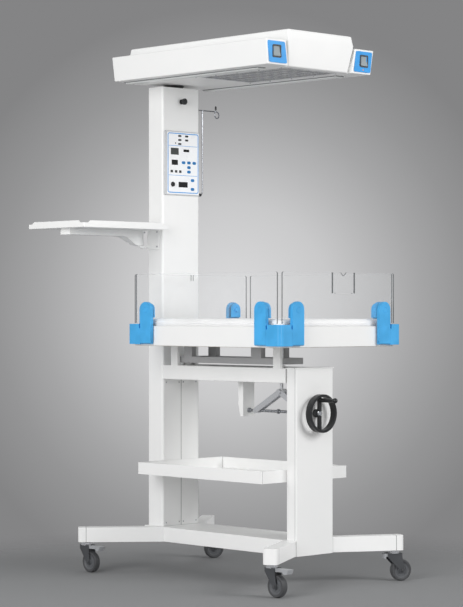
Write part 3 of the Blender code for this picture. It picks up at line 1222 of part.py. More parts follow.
# Radiant head
def head_cover():
    """The hood: a hipped centre cover between two leaning side shells, on one chassis."""
    height_points = [(HEAD_HALF_LOW, HEAD_LOW), (HEAD_HALF_CREASE, HEAD_CREASE), (HEAD_HALF_HIGH, HEAD_HIGH)]
    front_view = height_points + [(-x, z) for x, z in reversed(height_points)]
    side_view = [(HEAD_FRONT_Y + HEAD_FRONT_LEAN, HEAD_LOW), (HEAD_REAR_Y, HEAD_LOW),
                 (HEAD_REAR_Y, HEAD_CREASE), (HEAD_REAR_Y - HEAD_ROOF_LEAN, HEAD_HIGH),
                 (HEAD_FRONT_Y + HEAD_ROOF_LEAN, HEAD_HIGH), (HEAD_FRONT_Y, HEAD_CREASE)]
    reach = HEAD_REAR_Y * 2
    hood = prism(front_view, -reach, reach, "XZ")
    common(hood, prism(side_view, -reach, reach, "YZ"))
    soften(hood, SHELL_EDGE, 1, 30)
    chassis = block((-SHELL_IN_HIGH - SHELL_EDGE * 3, SHELL_FRONT_Y + BRIDGE_SETBACK, HEAD_LOW),
                    (SHELL_IN_HIGH + SHELL_EDGE * 3, SHELL_REAR_Y - BRIDGE_SETBACK, BRIDGE_HIGH))
    fuse(hood, chassis)
    shell_side = [(SHELL_FRONT_Y + SHELL_FRONT_LEAN, HEAD_LOW), (SHELL_REAR_Y, HEAD_LOW),
                  (SHELL_REAR_Y, SHELL_HIGH), (SHELL_FRONT_Y, SHELL_HIGH)]
    for side in (-1, 1):
        shell_front = [(side * (SHELL_IN_HIGH - SHELL_LEAN), HEAD_LOW),
                       (side * (SHELL_OUT_HIGH - SHELL_LEAN), HEAD_LOW),
                       (side * SHELL_OUT_HIGH, SHELL_HIGH), (side * SHELL_IN_HIGH, SHELL_HIGH)]
        shell = prism(shell_front, -reach, reach, "XZ")
        common(shell, prism(shell_side, -reach, reach, "YZ"))
        soften(shell, SHELL_EDGE, 2, 30)
        fuse(hood, shell)
    for side in (-1, 1):
        well = block((side * SWITCH_X - SWITCH_HALF_X, SHELL_FRONT_Y - SWITCH_DEPTH, SWITCH_Z - SWITCH_HALF_Z),
                     (side * SWITCH_X + SWITCH_HALF_X, SHELL_FRONT_Y + SWITCH_DEPTH, SWITCH_Z + SWITCH_HALF_Z))
        cut(hood, well)
    ledge = HEAD_LOW + GRILLE_SHEET + GAP
    rabbet = block((-GRILLE_HALF - GAP, GRILLE_FRONT_Y - GAP, HEAD_LOW - SHELL_EDGE),
                   (GRILLE_HALF + GAP, GRILLE_REAR_Y + GAP, ledge))
    rim = GRILLE_EDGE - GRILLE_BAR / 2
    cavity = block((rim - GRILLE_HALF, GRILLE_FRONT_Y + rim, ledge - SHELL_EDGE),
                   (GRILLE_HALF - rim, GRILLE_REAR_Y - rim, CAVITY_HIGH))
    socket = rod((0, SWIVEL_Y, HEAD_LOW - SHELL_EDGE), (0, SWIVEL_Y, HEAD_LOW + SPIGOT_LENGTH + GAP),
                 SPIGOT_RADIUS + PIN_GAP, 24)
    cut(hood, rabbet, cavity, socket)
    part(hood, "head_cover", "head", "white_paint")


def heater_grille():
    """A punched guard under the heater."""
    inner_x = GRILLE_HALF - GRILLE_EDGE
    low, high = GRILLE_FRONT_Y + GRILLE_EDGE, GRILLE_REAR_Y - GRILLE_EDGE
    step_x = (2 * inner_x + GRILLE_BAR) / GRILLE_COLUMNS
    step_y = (high - low + GRILLE_BAR) / GRILLE_ROWS
    holes = []
    for column in range(GRILLE_COLUMNS):
        for row in range(GRILLE_ROWS):
            x, y = -inner_x + column * step_x, low + row * step_y
            holes.append(rectangle(x, x + step_x - GRILLE_BAR, y, y + step_y - GRILLE_BAR))
    guard = prism(rectangle(-GRILLE_HALF, GRILLE_HALF, GRILLE_FRONT_Y, GRILLE_REAR_Y),
                  HEAD_LOW, HEAD_LOW + GRILLE_SHEET, holes=holes)
    part(guard, "heater_grille", "head", "steel")


def heater_element():
    """A hairpin heating tube held from the roof of the cavity by two stays."""
    start, end = HEATER_ENDS
    pitch = HEATER_HALF_PITCH
    path = [(-pitch, start, HEATER_Z)]
    path += [(x, y, HEATER_Z) for x, y in arc((0, end - pitch), pitch, 180, 0, 8)]
    path.append((pitch, start, HEATER_Z))
    element = tube(path, HEATER_RADIUS, 1)
    top = CAVITY_HIGH - GAP
    for x, y in ((-pitch, start + pitch), (pitch, start + pitch), (0, end)):
        fuse(element, rod((x, y, HEATER_Z), (x, y, top), HEATER_RADIUS * 0.6, 8))
    part(element, "heater_element", "head", "steel")


def lamp_strip(name, side):
    x = side * LAMP_X
    top = HEAD_LOW - GAP
    strip = block((x - LAMP_HALF_WIDTH, LAMP_ENDS[0], top - LAMP_DEPTH),
                  (x + LAMP_HALF_WIDTH, LAMP_ENDS[1], top), 0.002, 2)
    part(strip, "lamp_strip_" + name, "head", "white_paint")


def rocker(name, side):
    """A rocker key, drawn with its upper half pressed in, in the well of a side shell."""
    body = "rocker_" + name
    pivot(body, (side * SWITCH_X, ROCKER_Y, SWITCH_Z), "head")
    half = SWITCH_HALF_Z - ROCKER_GAP * 2
    proud = ROCKER_Y - SHELL_FRONT_Y + ROCKER_PROUD
    outline = [(-proud, half), (-proud * 0.75, 0), (-proud, -half), (0.001, -half * 0.8), (0.001, half * 0.8)]
    turn = ROCKER_SWING / 2
    outline = [(y * cos(turn) + z * sin(turn), z * cos(turn) - y * sin(turn)) for y, z in outline]
    outline = [(ROCKER_Y + y, SWITCH_Z + z) for y, z in outline]
    width = SWITCH_HALF_X - ROCKER_GAP
    key = prism(outline, side * SWITCH_X - width, side * SWITCH_X + width, "YZ")
    part(key, "rocker_switch_" + name, body, "grey_plastic")


def head_turntable():
    top = HEAD_LOW - GAP
    low = REAR_COLUMN_TOP + GAP
    table = turned([(0, HEAD_LOW + SPIGOT_LENGTH), (SPIGOT_RADIUS - 0.001, HEAD_LOW + SPIGOT_LENGTH),
                    (SPIGOT_RADIUS, HEAD_LOW + SPIGOT_LENGTH - 0.001), (SPIGOT_RADIUS, top),
                    (TURNTABLE_RADIUS, top), (TURNTABLE_RADIUS, top - 0.004), (TURNTABLE_RADIUS - 0.004, top - 0.005),
                    (TURNTABLE_RADIUS - 0.004, low), (0, low)], (0, SWIVEL_Y, 0), steps=32)
    part(table, "head_turntable", "stand", "black_plastic")


def lock_knob():
    """A pull knob whose stem locks the head's turntable, and the bush it slides in."""
    back = REAR_COLUMN_Y - GAP
    bush = turned([(LOCK_STEM_RADIUS + PIN_GAP, LOCK_BUSH_DEPTH), (LOCK_BUSH_RADIUS - 0.001, LOCK_BUSH_DEPTH),
                   (LOCK_BUSH_RADIUS, LOCK_BUSH_DEPTH - 0.001), (LOCK_BUSH_RADIUS, 0),
                   (LOCK_STEM_RADIUS + PIN_GAP, 0)], (0, back, LOCK_Z), "-Y", 20, ring=True)
    part(bush, "lock_bush", "stand", "black_plastic")
    length = REAR_COLUMN_Y + LOCK_STEM_IN - LOCK_FRONT_Y
    knob_back = length - LOCK_KNOB_DEPTH
    profile = [(0, length), (LOCK_KNOB_RADIUS - 0.002, length), (LOCK_KNOB_RADIUS, length - 0.002),
               (LOCK_KNOB_RADIUS, knob_back + 0.001), (LOCK_KNOB_RADIUS - 0.001, knob_back),
               (LOCK_STEM_RADIUS, knob_back), (LOCK_STEM_RADIUS, 0), (0, 0)]
    knob = turned(profile, (0, REAR_COLUMN_Y + LOCK_STEM_IN, LOCK_Z), "-Y", 24)
    part(knob, "lock_knob", "lock", "black_plastic")


# Assembly
def stand_on_origin():
    """Shift everything so that the middle of the floor rectangle is the world origin."""
    seen = bpy.context.evaluated_depsgraph_get()
    corners = []
    for shape in parts.objects:
        if shape.type == "MESH":
            placed = shape.evaluated_get(seen)
            corners += [placed.matrix_world @ Vector(corner) for corner in placed.bound_box]
    shift = Vector([(min(c[axis] for c in corners) + max(c[axis] for c in corners)) / 2 for axis in (0, 1)] + [
        min(c.z for c in corners)])
    pivots["stand"][0].location -= shift


pivot("stand", (0, 0, 0))
pivot("head", (0, SWIVEL_Y, HEAD_LOW), "stand")
pivot("lock", (0, LOCK_FRONT_Y, LOCK_Z), "stand")
pivot("shelf", (ARM_PIN_X, ARM_PIN_Y, ARM_FOOT_Z), "stand")
pivot("bed", (0, TILT_Y, TILT_Z), "stand")
pivot("screw", (0, FRONT_COLUMN_Y, JACK_Z), "stand")
pivot("crank", (0, FRONT_COLUMN_Y, JACK_Z + GRIP_ARM), "screw")
pivot("nut_front", (0, NUT_FRONT_Y, JACK_Z), "stand")
pivot("nut_rear", (0, NUT_REAR_Y, JACK_Z), "stand")
pivot("link_front", (0, NUT_FRONT_Y, JACK_Z), "nut_front")
pivot("link_rear", (0, NUT_REAR_Y, JACK_Z), "nut_rear")
pivot("push_rod", (0, APEX_Y, APEX_Z), "stand")

base_frame()
for corner in CASTER_PLACES:
    is_left = corner.endswith("left")
    caster(corner, LEFT_CASTER_TURN if is_left else RIGHT_CASTER_TURN, -1 if is_left else 1)
front_column()
rear_column()
control_panel()
infusion_pole()
monitor_shelf()
storage_tray()
bed_beam()
tilt_cradle()
jack_bracket()
lead_screw()
jack_nut("nut_front", NUT_FRONT_Y)
jack_nut("nut_rear", NUT_REAR_Y)
jack_link("link_rear", NUT_REAR_Y, NUT_HALF + PIN_GAP)
jack_link("link_front", NUT_FRONT_Y, NUT_HALF + PIN_GAP + LINK_PLATE + PIN_GAP)
push_rod()
handwheel()
bed_frame()
mattress()
side_panels()
bed_corners()
head_cover()
heater_grille()
heater_element()
for side, name in ((-1, "left"), (1, "right")):
    lamp_strip(name, side)
    rocker(name, side)
head_turntable()
lock_knob()
bpy.context.view_layer.update()
stand_on_origin()
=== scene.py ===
"""Infant radiant warmer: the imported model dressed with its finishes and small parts."""
import json
from math import cos, pi, radians, sin

import bmesh
import bpy
from mathutils import Matrix, Vector


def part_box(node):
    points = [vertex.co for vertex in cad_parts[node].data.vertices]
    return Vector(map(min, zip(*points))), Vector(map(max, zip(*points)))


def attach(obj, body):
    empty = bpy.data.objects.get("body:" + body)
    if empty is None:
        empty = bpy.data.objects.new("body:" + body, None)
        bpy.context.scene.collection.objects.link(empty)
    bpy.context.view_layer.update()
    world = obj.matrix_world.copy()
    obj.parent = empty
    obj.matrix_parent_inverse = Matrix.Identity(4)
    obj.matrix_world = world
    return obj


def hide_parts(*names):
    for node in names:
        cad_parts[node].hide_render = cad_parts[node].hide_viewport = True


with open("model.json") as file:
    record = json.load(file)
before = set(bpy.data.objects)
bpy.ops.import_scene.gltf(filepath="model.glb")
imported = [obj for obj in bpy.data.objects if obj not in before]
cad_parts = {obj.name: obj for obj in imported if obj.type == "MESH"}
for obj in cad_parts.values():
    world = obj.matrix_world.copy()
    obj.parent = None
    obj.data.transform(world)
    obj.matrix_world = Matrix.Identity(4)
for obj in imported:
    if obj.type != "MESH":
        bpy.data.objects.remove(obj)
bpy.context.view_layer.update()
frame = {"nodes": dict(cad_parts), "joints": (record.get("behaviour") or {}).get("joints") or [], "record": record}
scene = bpy.context.scene
scene.view_settings.view_transform = "Standard"

# Camera
# It stands 7.5 m off the front left corner at chest height and looks level, as the product
# photograph was taken, with a long lens and a slight rise for the framing.
camera_place = (-5.1611, -5.3930, 0.941)
camera_turn = -43.95
focal_length = 126.1
film_width = 36
rise = 0.0101
camera = bpy.data.objects.new("camera", bpy.data.cameras.new("camera"))
camera.location = camera_place
camera.rotation_euler = (radians(90), 0, radians(camera_turn))
camera.data.lens = focal_length
camera.data.sensor_width = film_width
camera.data.sensor_fit = "AUTO"
camera.data.shift_y = rise
camera.data.clip_end = 60
scene.collection.objects.link(camera)
scene.camera = camera


# Backdrop and lights
# A plain grey studio backdrop, brightest behind the bed, seen by the camera, by metal and by
# the clear panels. Soft light comes from all round, with large lamps left, in front and above.
class Flow:
    """A socket in a finish, so that its maths reads as plain sums."""

    def __init__(self, tree, socket):
        self.tree = tree
        self.socket = socket

    def sum_of(self, operation, first, second=0.0):
        return grow(self.tree, "ShaderNodeMath", {"operation": operation}, (first, second))

    def __add__(self, other):
        return self.sum_of("ADD", self, other)

    def __sub__(self, other):
        return self.sum_of("SUBTRACT", self, other)

    def __rsub__(self, other):
        return self.sum_of("SUBTRACT", other, self)

    def __mul__(self, other):
        return self.sum_of("MULTIPLY", self, other)

    def __truediv__(self, other):
        return self.sum_of("DIVIDE", self, other)

    def __abs__(self):
        return self.sum_of("ABSOLUTE", self)

    def __gt__(self, other):
        return self.sum_of("GREATER_THAN", self, other)

    def __lt__(self, other):
        return self.sum_of("LESS_THAN", self, other)

    def sine(self):
        return self.sum_of("SINE", self)

    def between(self, low, high, start=0.0, end=1.0):
        """This value run from start to end as it goes from low to high, held beyond them."""
        return grow(self.tree, "ShaderNodeMapRange", {"interpolation_type": "SMOOTHSTEP"},
                    (self, low, high, start, end))

    __radd__ = __add__
    __rmul__ = __mul__


def grow(tree, kind, settings, values, output=0):
    """Add a node with its settings, then fill or link its sockets."""
    made = tree.nodes.new(kind)
    for name, setting in settings.items():
        setattr(made, name, setting)
    for key, value in (values.items() if isinstance(values, dict) else enumerate(values)):
        if isinstance(value, Flow):
            tree.links.new(value.socket, made.inputs[key])
        else:
            made.inputs[key].default_value = value
    return Flow(tree, made.outputs[output]) if made.outputs else None


def seen(red, green, blue):
    """A colour as the photograph shows it, in 0-255 steps, made linear."""
    steps = (c / 255 for c in (red, green, blue))
    return (*(c / 12.92 if c <= 0.04045 else ((c + 0.055) / 1.055) ** 2.4 for c in steps), 1.0)


def blended(factor, first, second):
    """One colour running into another."""
    return grow(factor.tree, "ShaderNodeMix", {"data_type": "RGBA"},
                {"Factor": factor, 6: first, 7: second}, 2)


bright_spot = Vector((0.6940, 0.7199, 0.0031)).normalized()
corner_reach = 0.14124
fading = ((0.33, 201), (0.5, 181), (0.63, 165), (0.78, 149), (0.98, 132))
brightest = 220
in_view, out_of_view = 0.22, 0.9
off_view = seen(182, 183, 185)


def on_backdrop(tree):
    """How far a look direction lies from the brightest spot, as a grey."""
    look = grow(tree, "ShaderNodeTexCoord", {}, {}, "Generated")
    reach = grow(tree, "ShaderNodeVectorMath", {"operation": "DISTANCE"}, (look, bright_spot), "Value")
    ramp = grow(tree, "ShaderNodeValToRGB", {}, (reach / corner_reach,))
    stops = ramp.socket.node.color_ramp.elements
    for place, grey in fading[:-1]:
        stops.new(place).color = seen(grey, grey, grey + 1)
    stops[0].color = seen(brightest, brightest, brightest + 1)
    last_place, last_grey = fading[-1]
    stops[-1].position = last_place
    stops[-1].color = seen(last_grey, last_grey, last_grey + 1)
    return blended(reach.between(in_view, out_of_view), ramp, off_view)


world = bpy.data.worlds.new("studio")
scene.world = world
world.use_nodes = True
sky = world.node_tree
sky.nodes.clear()
rays = grow(sky, "ShaderNodeLightPath", {}, {}).socket.node.outputs
shown = grow(sky, "ShaderNodeMath", {"operation": "MAXIMUM"},
             (Flow(sky, rays["Is Camera Ray"]), Flow(sky, rays["Is Glossy Ray"])))
shown = grow(sky, "ShaderNodeMath", {"operation": "MAXIMUM"},
             (shown, Flow(sky, rays["Is Transmission Ray"])))
glow_colour = (1.0, 1.0, 1.0, 1.0)
glow_strength = 0.38
backdrop = grow(sky, "ShaderNodeBackground", {}, (on_backdrop(sky), 1.0))
glow = grow(sky, "ShaderNodeBackground", {}, (glow_colour, glow_strength))
mixed = grow(sky, "ShaderNodeMixShader", {}, (shown, glow, backdrop))
grow(sky, "ShaderNodeOutputWorld", {}, (mixed,))

lit_middle = Vector((0, 0, 0.9))
for name, place, size, power in (
    ("lamp_left", (-3.6, -0.9, 1.9), 2.6, 96),
    ("lamp_front", (1.3, -4.0, 2.5), 2.4, 104),
    ("lamp_above", (0.3, 0.2, 4.6), 3.0, 18),
):
    lamp = bpy.data.objects.new(name, bpy.data.lights.new(name, "AREA"))
    lamp.data.shape = "DISK"
    lamp.data.size = size
    lamp.data.energy = power
    lamp.location = place
    lamp.rotation_euler = (lit_middle - Vector(place)).to_track_quat("-Z", "Y").to_euler()
    scene.collection.objects.link(lamp)


# Floor
# A plain pale studio floor that fades into the backdrop and keeps the warmer's soft shadow.
# From below it is clear, so that the warmer's underside can be looked at.
def finish_of(name, colour, roughness, metallic=0.0, **sockets):
    """A new finish: its material, with the shader's own sockets set."""
    material = bpy.data.materials.new(name)
    material.use_nodes = True
    surface = material.node_tree.nodes["Principled BSDF"]
    values = {"Base Color": colour, "Roughness": roughness, "Metallic": metallic}
    values.update({key.replace("_", " "): value for key, value in sockets.items()})
    for key, value in values.items():
        surface.inputs[key].default_value = value
    return material


def feed(material, socket, flow):
    """Let a flow drive one of a finish's sockets."""
    tree = material.node_tree
    tree.links.new(flow.socket, tree.nodes["Principled BSDF"].inputs[socket])


def split(vector):
    """A vector's three lengths."""
    parts = grow(vector.tree, "ShaderNodeSeparateXYZ", {}, (vector,)).socket.node.outputs
    return [Flow(vector.tree, part) for part in parts]


def spot(material):
    """Where a point lies on its piece, as a vector and as its three lengths."""
    here = grow(material.node_tree, "ShaderNodeTexCoord", {}, {}, "Object")
    return here, *split(here)


floor_radius = 3.2
fade_start, fade_end = 0.75, 1.7
bm = bmesh.new()
bmesh.ops.create_circle(bm, cap_ends=True, segments=64, radius=floor_radius)
floor_mesh = bpy.data.meshes.new("floor")
bm.to_mesh(floor_mesh)
bm.free()
floor = bpy.data.objects.new("floor", floor_mesh)
scene.collection.objects.link(floor)
floor_lit, floor_shown = seen(190, 190, 191), seen(131, 132, 133)
pale = finish_of("studio_floor", floor_lit, 0.9)
tree = pale.node_tree
_, across, back, _ = spot(pale)
away = grow(tree, "ShaderNodeMath", {"operation": "POWER"}, (across * across + back * back, 0.5))
camera_ray = grow(tree, "ShaderNodeLightPath", {}, {}, "Is Camera Ray")
feed(pale, "Base Color", blended(camera_ray, floor_lit, floor_shown))
from_below = grow(tree, "ShaderNodeNewGeometry", {}, {}, "Backfacing")
feed(pale, "Alpha", away.between(fade_start, fade_end, 1.0, 0.0) * (1.0 - from_below))
floor_mesh.materials.append(pale)


# Base
# A welded steel frame of rectangular tube with four splayed legs, satin white powder coat,
# with a moulded cap pressed into the end of each leg.
def copy_of(node):
    """A CAD node's shape, merged and with its flat triangles joined, to be worked on."""
    bm = bmesh.new()
    bm.from_mesh(frame["nodes"][node].data)
    bmesh.ops.remove_doubles(bm, verts=bm.verts, dist=0.00001)
    bmesh.ops.join_triangles(bm, faces=bm.faces, angle_face_threshold=radians(1),
                             angle_shape_threshold=pi)
    return bm


def ease(bm, width, segments=2, angle=30):
    """Round every edge that turns by more than an angle."""
    sharp = [edge for edge in bm.edges
             if len(edge.link_faces) == 2 and edge.calc_face_angle(0) > radians(angle)]
    bmesh.ops.bevel(bm, geom=sharp, offset=width, offset_type="OFFSET", segments=segments,
                    profile=0.5, affect="EDGES", material=-1, clamp_overlap=True)


def piece(bm, name, body, material, slot, *nodes):
    """Make a shape a piece of the warmer, on its body, instead of the nodes it stands for."""
    bmesh.ops.recalc_face_normals(bm, faces=bm.faces)
    mesh = bpy.data.meshes.new(name)
    bm.to_mesh(mesh)
    bm.free()
    mesh.materials.append(material)
    mesh.shade_smooth()
    mesh.set_sharp_from_angle(angle=radians(35))
    made = bpy.data.objects.new(name, mesh)
    scene.collection.objects.link(made)
    made.modifiers.new("flat_faces", "WEIGHTED_NORMAL").keep_sharp = True
    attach(made, body)
    if nodes:
        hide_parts(*nodes)
    return made


def body_of(node):
    return next(body for body, nodes in frame["record"]["behaviour"]["bodies"].items() if node in nodes)


def slot_of(node):
    return next(part["material_slot"] for part in frame["record"]["subparts"] if part["node"] == node)


def refined(node, material, width=0.0008, segments=2, angle=30):
    """The CAD node's own shape with softly rounded edges and a real finish."""
    bm = copy_of(node)
    ease(bm, width, segments, angle)
    return piece(bm, node + "_finished", body_of(node), material, slot_of(node), node)


def noise(here, scale, detail=2.0):
    """Cloudy grain over a piece; a larger scale is finer."""
    return grow(here.tree, "ShaderNodeTexNoise", {}, {"Vector": here, "Scale": scale, "Detail": detail})


def bumped(material, height, strength, distance):
    """Let a height stand out of a finish."""
    feed(material, "Normal", grow(height.tree, "ShaderNodeBump", {},
                                  {"Strength": strength, "Distance": distance, "Height": height}))


def powder_coat(name, colour, sheen=0.36):
    """Satin powder coat: fine orange peel, a faint drift in tone and in gloss."""
    made = finish_of(name, colour, sheen, IOR=1.5)
    here, *_ = spot(made)
    drift = noise(here, 3.0, 3.0)
    dust = noise(here, 26.0, 4.0)
    peel = noise(here, 900.0)
    darker = (colour[0] * 0.955, colour[1] * 0.96, colour[2] * 0.965, 1.0)
    feed(made, "Base Color", blended(drift.between(0.35, 0.7) * 0.7 + dust * 0.3, colour, darker))
    feed(made, "Roughness", dust.between(0.3, 0.7, sheen - 0.05, sheen + 0.07))
    bumped(made, peel, 0.22, 0.0002)
    return made


seam_grey = seen(96, 97, 99)


def scribed(material, line, colour=seam_grey):
    """Draw a dark line into a finish's own colour: a joint, or painted shade along a fold."""
    tree = material.node_tree
    coat = Flow(tree, tree.nodes["Principled BSDF"].inputs["Base Color"].links[0].from_socket)
    feed(material, "Base Color", blended(line, coat, colour))


def fine_line(distance, faded, full):
    """One on a line, where a distance is nought, and nothing beyond where it has faded."""
    return abs(distance).between(faded, full)


joint_of = {joint["name"]: joint for joint in frame["joints"]}
front_splay, rear_splay = 30.5, 39.5
corners = ("front_left", "front_right", "rear_left", "rear_right")
splays = (180 + front_splay, -front_splay, 180 - rear_splay, rear_splay)
leg_reach = 0.045
cap_seam = 0.002
white = seen(243, 243, 242)
base_coat = powder_coat("base_powder_coat", white)
_, across, along, _ = spot(base_coat)
for corner, splay in zip(corners, splays):
    stem_x, stem_y, _ = joint_of["caster_swivel_" + corner]["pos_m"]
    out_x, out_y = cos(radians(splay)), sin(radians(splay))
    outward = (across - stem_x) * out_x + (along - stem_y) * out_y
    sideways = (across - stem_x) * out_y - (along - stem_y) * out_x
    scribed(base_coat, fine_line(outward - cap_seam, 0.0011, 0.0005) * (abs(sideways) < leg_reach))
refined("base_frame", base_coat, 0.0022, 3)
white_coat = powder_coat("white_powder_coat", white)


# Casters
# Four 75 mm castors, each a dark moulded fork under a bright pressed bearing crown, with a
# grey hub in a black tread, an axle bolt on both sides and a moulded brake pedal.
def moulded(name, colour, roughness, grain=700.0, depth=0.00025):
    """Moulded plastic or rubber with a fine even grain and slightly uneven gloss."""
    made = finish_of(name, colour, roughness)
    here, *_ = spot(made)
    grained = noise(here, grain, 3.0)
    cloudy = noise(here, 18.0, 3.0)
    lighter = (*(min(1.0, c * 1.16 + 0.004) for c in colour[:3]), 1.0)
    feed(made, "Base Color", blended(cloudy.between(0.3, 0.75), colour, lighter))
    feed(made, "Roughness", cloudy.between(0.25, 0.75, roughness - 0.06, roughness + 0.08))
    bumped(made, grained, 0.18, depth)
    return made


def plated(name, colour, roughness):
    """Bright plated or turned steel: even metal with soft cloudy wear."""
    made = finish_of(name, colour, roughness, 1.0)
    here, *_ = spot(made)
    cloudy = noise(here, 160.0, 4.0)
    duller = (*(c * 0.82 for c in colour[:3]), 1.0)
    feed(made, "Base Color", blended(cloudy.between(0.4, 0.8), colour, duller))
    feed(made, "Roughness", cloudy.between(0.3, 0.8, roughness * 0.7, roughness * 1.5))
    return made


def lathe(profile, foot, along, steps=32):
    """Spin (radius, height) points about a line that starts at foot; closed where they repeat."""
    bm = bmesh.new()
    ring = [bm.verts.new((radius, 0, height)) for radius, height in profile]
    line = [bm.edges.new(pair) for pair in zip(ring, ring[1:])]
    bmesh.ops.spin(bm, geom=ring + line, axis=(0, 0, 1), cent=(0, 0, 0), angle=2 * pi, steps=steps,
                   use_merge=True)
    bmesh.ops.remove_doubles(bm, verts=bm.verts, dist=0.000001)
    bmesh.ops.rotate(bm, verts=bm.verts, matrix=Vector(along).to_track_quat("Z", "Y").to_matrix())
    bmesh.ops.translate(bm, verts=bm.verts, vec=foot)
    return bm


def mirrored(half, middle=()):
    """A closed profile: its upper half, a point between, and the half's mirror image."""
    return [*half, *middle, *((radius, -height) for radius, height in reversed(half)), half[0]]


fork_black = moulded("fork_dark_plastic", seen(58, 60, 63), 0.42)
crown_steel = plated("crown_bright_steel", seen(214, 215, 218), 0.16)
tyre_rubber = moulded("tyre_black_rubber", seen(62, 63, 65), 0.62, 420.0)
hub_grey = moulded("hub_grey_plastic", seen(86, 88, 91), 0.45)
pedal_grey = moulded("pedal_grey_plastic", seen(150, 152, 155), 0.46)

crown_profile = [(0.0062, 0.1058), (0.0182, 0.1058), (0.0190, 0.1050), (0.0190, 0.1000), (0.0204, 0.0985),
                 (0.0206, 0.0966), (0.0196, 0.0956), (0.0062, 0.0956), (0.0062, 0.1058)]
tyre_profile = mirrored([(0.0272, 0.0098), (0.0290, 0.0112), (0.0335, 0.0116), (0.0360, 0.0100),
                         (0.0374, 0.0060)], [(0.0375, 0.0)])
hub_profile = mirrored([(0.0046, 0.0119), (0.0100, 0.0119), (0.0108, 0.0108), (0.0120, 0.0078),
                        (0.0170, 0.0074), (0.0180, 0.0086), (0.0200, 0.0086), (0.0210, 0.0074),
                        (0.0250, 0.0078), (0.0273, 0.0100)])
bolt_profile = [(0.0, 0.0196), (0.0030, 0.0196), (0.0042, 0.0188), (0.0044, 0.0150), (0.0, 0.0150)]
upward = Vector((0, 0, 1))
for corner in corners:
    refined("caster_fork_" + corner, fork_black, 0.0006)
    refined("brake_pedal_" + corner, pedal_grey, 0.0008)
    crown = lathe(crown_profile, Vector(joint_of["caster_swivel_" + corner]["pos_m"]), upward, 36)
    piece(crown, "caster_crown_" + corner, "caster_" + corner, crown_steel, "steel")
    axle = joint_of["wheel_spin_" + corner]
    centre, along = Vector(axle["pos_m"]), Vector(axle["axis"])
    piece(lathe(tyre_profile, centre, along, 48), "caster_tyre_" + corner, "wheel_" + corner,
          tyre_rubber, "black_rubber", "caster_wheel_" + corner)
    piece(lathe(hub_profile, centre, along, 36), "caster_hub_" + corner, "wheel_" + corner,
          hub_grey, "black_rubber")
    for side, letter in ((-1, "a"), (1, "b")):
        piece(lathe(bolt_profile, centre, along * side, 20), f"caster_bolt_{corner}_{letter}",
              "caster_" + corner, tyre_rubber, "grey_plastic")


# Columns
# The front column is a folded steel channel with a flat cap; the rear column is a welded
# rectangular tube with two screwed covers low on its front. Both are coated like the base.
def lump(low, high, width=0.0, segments=2):
    """A block between two corners with its edges rounded."""
    bm = bmesh.new()
    bmesh.ops.create_cube(bm, size=1.0)
    low, high = Vector(low), Vector(high)
    bmesh.ops.scale(bm, vec=high - low, verts=bm.verts)
    bmesh.ops.translate(bm, vec=(low + high) / 2, verts=bm.verts)
    if width:
        ease(bm, width, segments)
    return bm


def gather(shapes):
    """Several shapes as one."""
    whole = bmesh.new()
    for shape in shapes:
        mesh = bpy.data.meshes.new("part")
        shape.to_mesh(mesh)
        shape.free()
        whole.from_mesh(mesh)
        bpy.data.meshes.remove(mesh)
    return whole


def screw_head(place, along, radius):
    """A domed screw head with a round drive recess."""
    return lathe([(0, 0.0004), (radius * 0.36, 0.0004), (radius * 0.42, 0.0016),
                  (radius * 0.8, 0.0013), (radius, 0.0004), (radius, -0.0006), (0, -0.0006)],
                 place, along, 16)


forward, outward_left = Vector((0, -1, 0)), Vector((-1, 0, 0))
column_low, column_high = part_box("front_column")
fold_setback = 0.0095
side_depth = 0.002
column_coat = powder_coat("column_powder_coat", white)
_, across, along, _ = spot(column_coat)
on_sides = (across < column_low[0] + side_depth) + (across > column_high[0] - side_depth)
# The soft grey line on the column's sides, set back from its front, is painted shade along the fold.
scribed(column_coat, fine_line(along - column_low[1] - fold_setback, 0.0010, 0.0005) * on_sides,
        seen(158, 159, 161))
refined("front_column", column_coat, 0.0012, 2)
refined("rear_column", white_coat, 0.0012, 2)

lower_covers = ("lower_cover_left", "lower_cover_right")
cover_coat = powder_coat("cover_powder_coat", seen(241, 241, 240))
_, across, _, _ = spot(cover_coat)
meeting = (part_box("lower_cover_left")[1][0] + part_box("lower_cover_right")[0][0]) / 2
scribed(cover_coat, fine_line(across - meeting, 0.0014, 0.0007), seen(60, 61, 63))
screw_steel = plated("screw_steel", seen(190, 192, 195), 0.28)
cover_screw = 0.0028
side_inset, end_inset = 0.010, 0.012
heads = []
for cover in lower_covers:
    refined(cover, cover_coat, 0.0005, 2)
    low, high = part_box(cover)
    for x in (low[0] + side_inset, high[0] - side_inset):
        for z in (low[2] + end_inset, high[2] - end_inset):
            heads.append(screw_head((x, low[1], z), forward, cover_screw))
piece(gather(heads), "cover_screws", "stand", screw_steel, "steel")


# Control panel
# A thin white front plate screwed to the rear column, under a printed membrane: a light blue
# border and dividers, sprung oval keys, dark displays behind clear windows, round sockets.
def plate_outline(left, right, low, high, radius, face, segments=5):
    """A flat rounded shape on a wall that faces forward."""
    bm = bmesh.new()
    bmesh.ops.create_grid(bm, x_segments=1, y_segments=1, size=0.5)
    bmesh.ops.scale(bm, vec=(right - left, high - low, 1), verts=bm.verts)
    if radius:
        bmesh.ops.bevel(bm, geom=bm.verts[:], offset=radius, segments=segments, profile=0.5,
                        affect="VERTICES", material=-1)
    bmesh.ops.rotate(bm, verts=bm.verts, matrix=Matrix.Rotation(pi / 2, 3, "X"))
    bmesh.ops.translate(bm, vec=((left + right) / 2, face, (low + high) / 2), verts=bm.verts)
    return bm


def thicken(bm, thickness):
    """Draw a flat shape out forwards."""
    grown = bmesh.ops.extrude_face_region(bm, geom=bm.faces[:])
    moved = [item for item in grown["geom"] if isinstance(item, bmesh.types.BMVert)]
    bmesh.ops.translate(bm, vec=forward * thickness, verts=moved)
    return bm


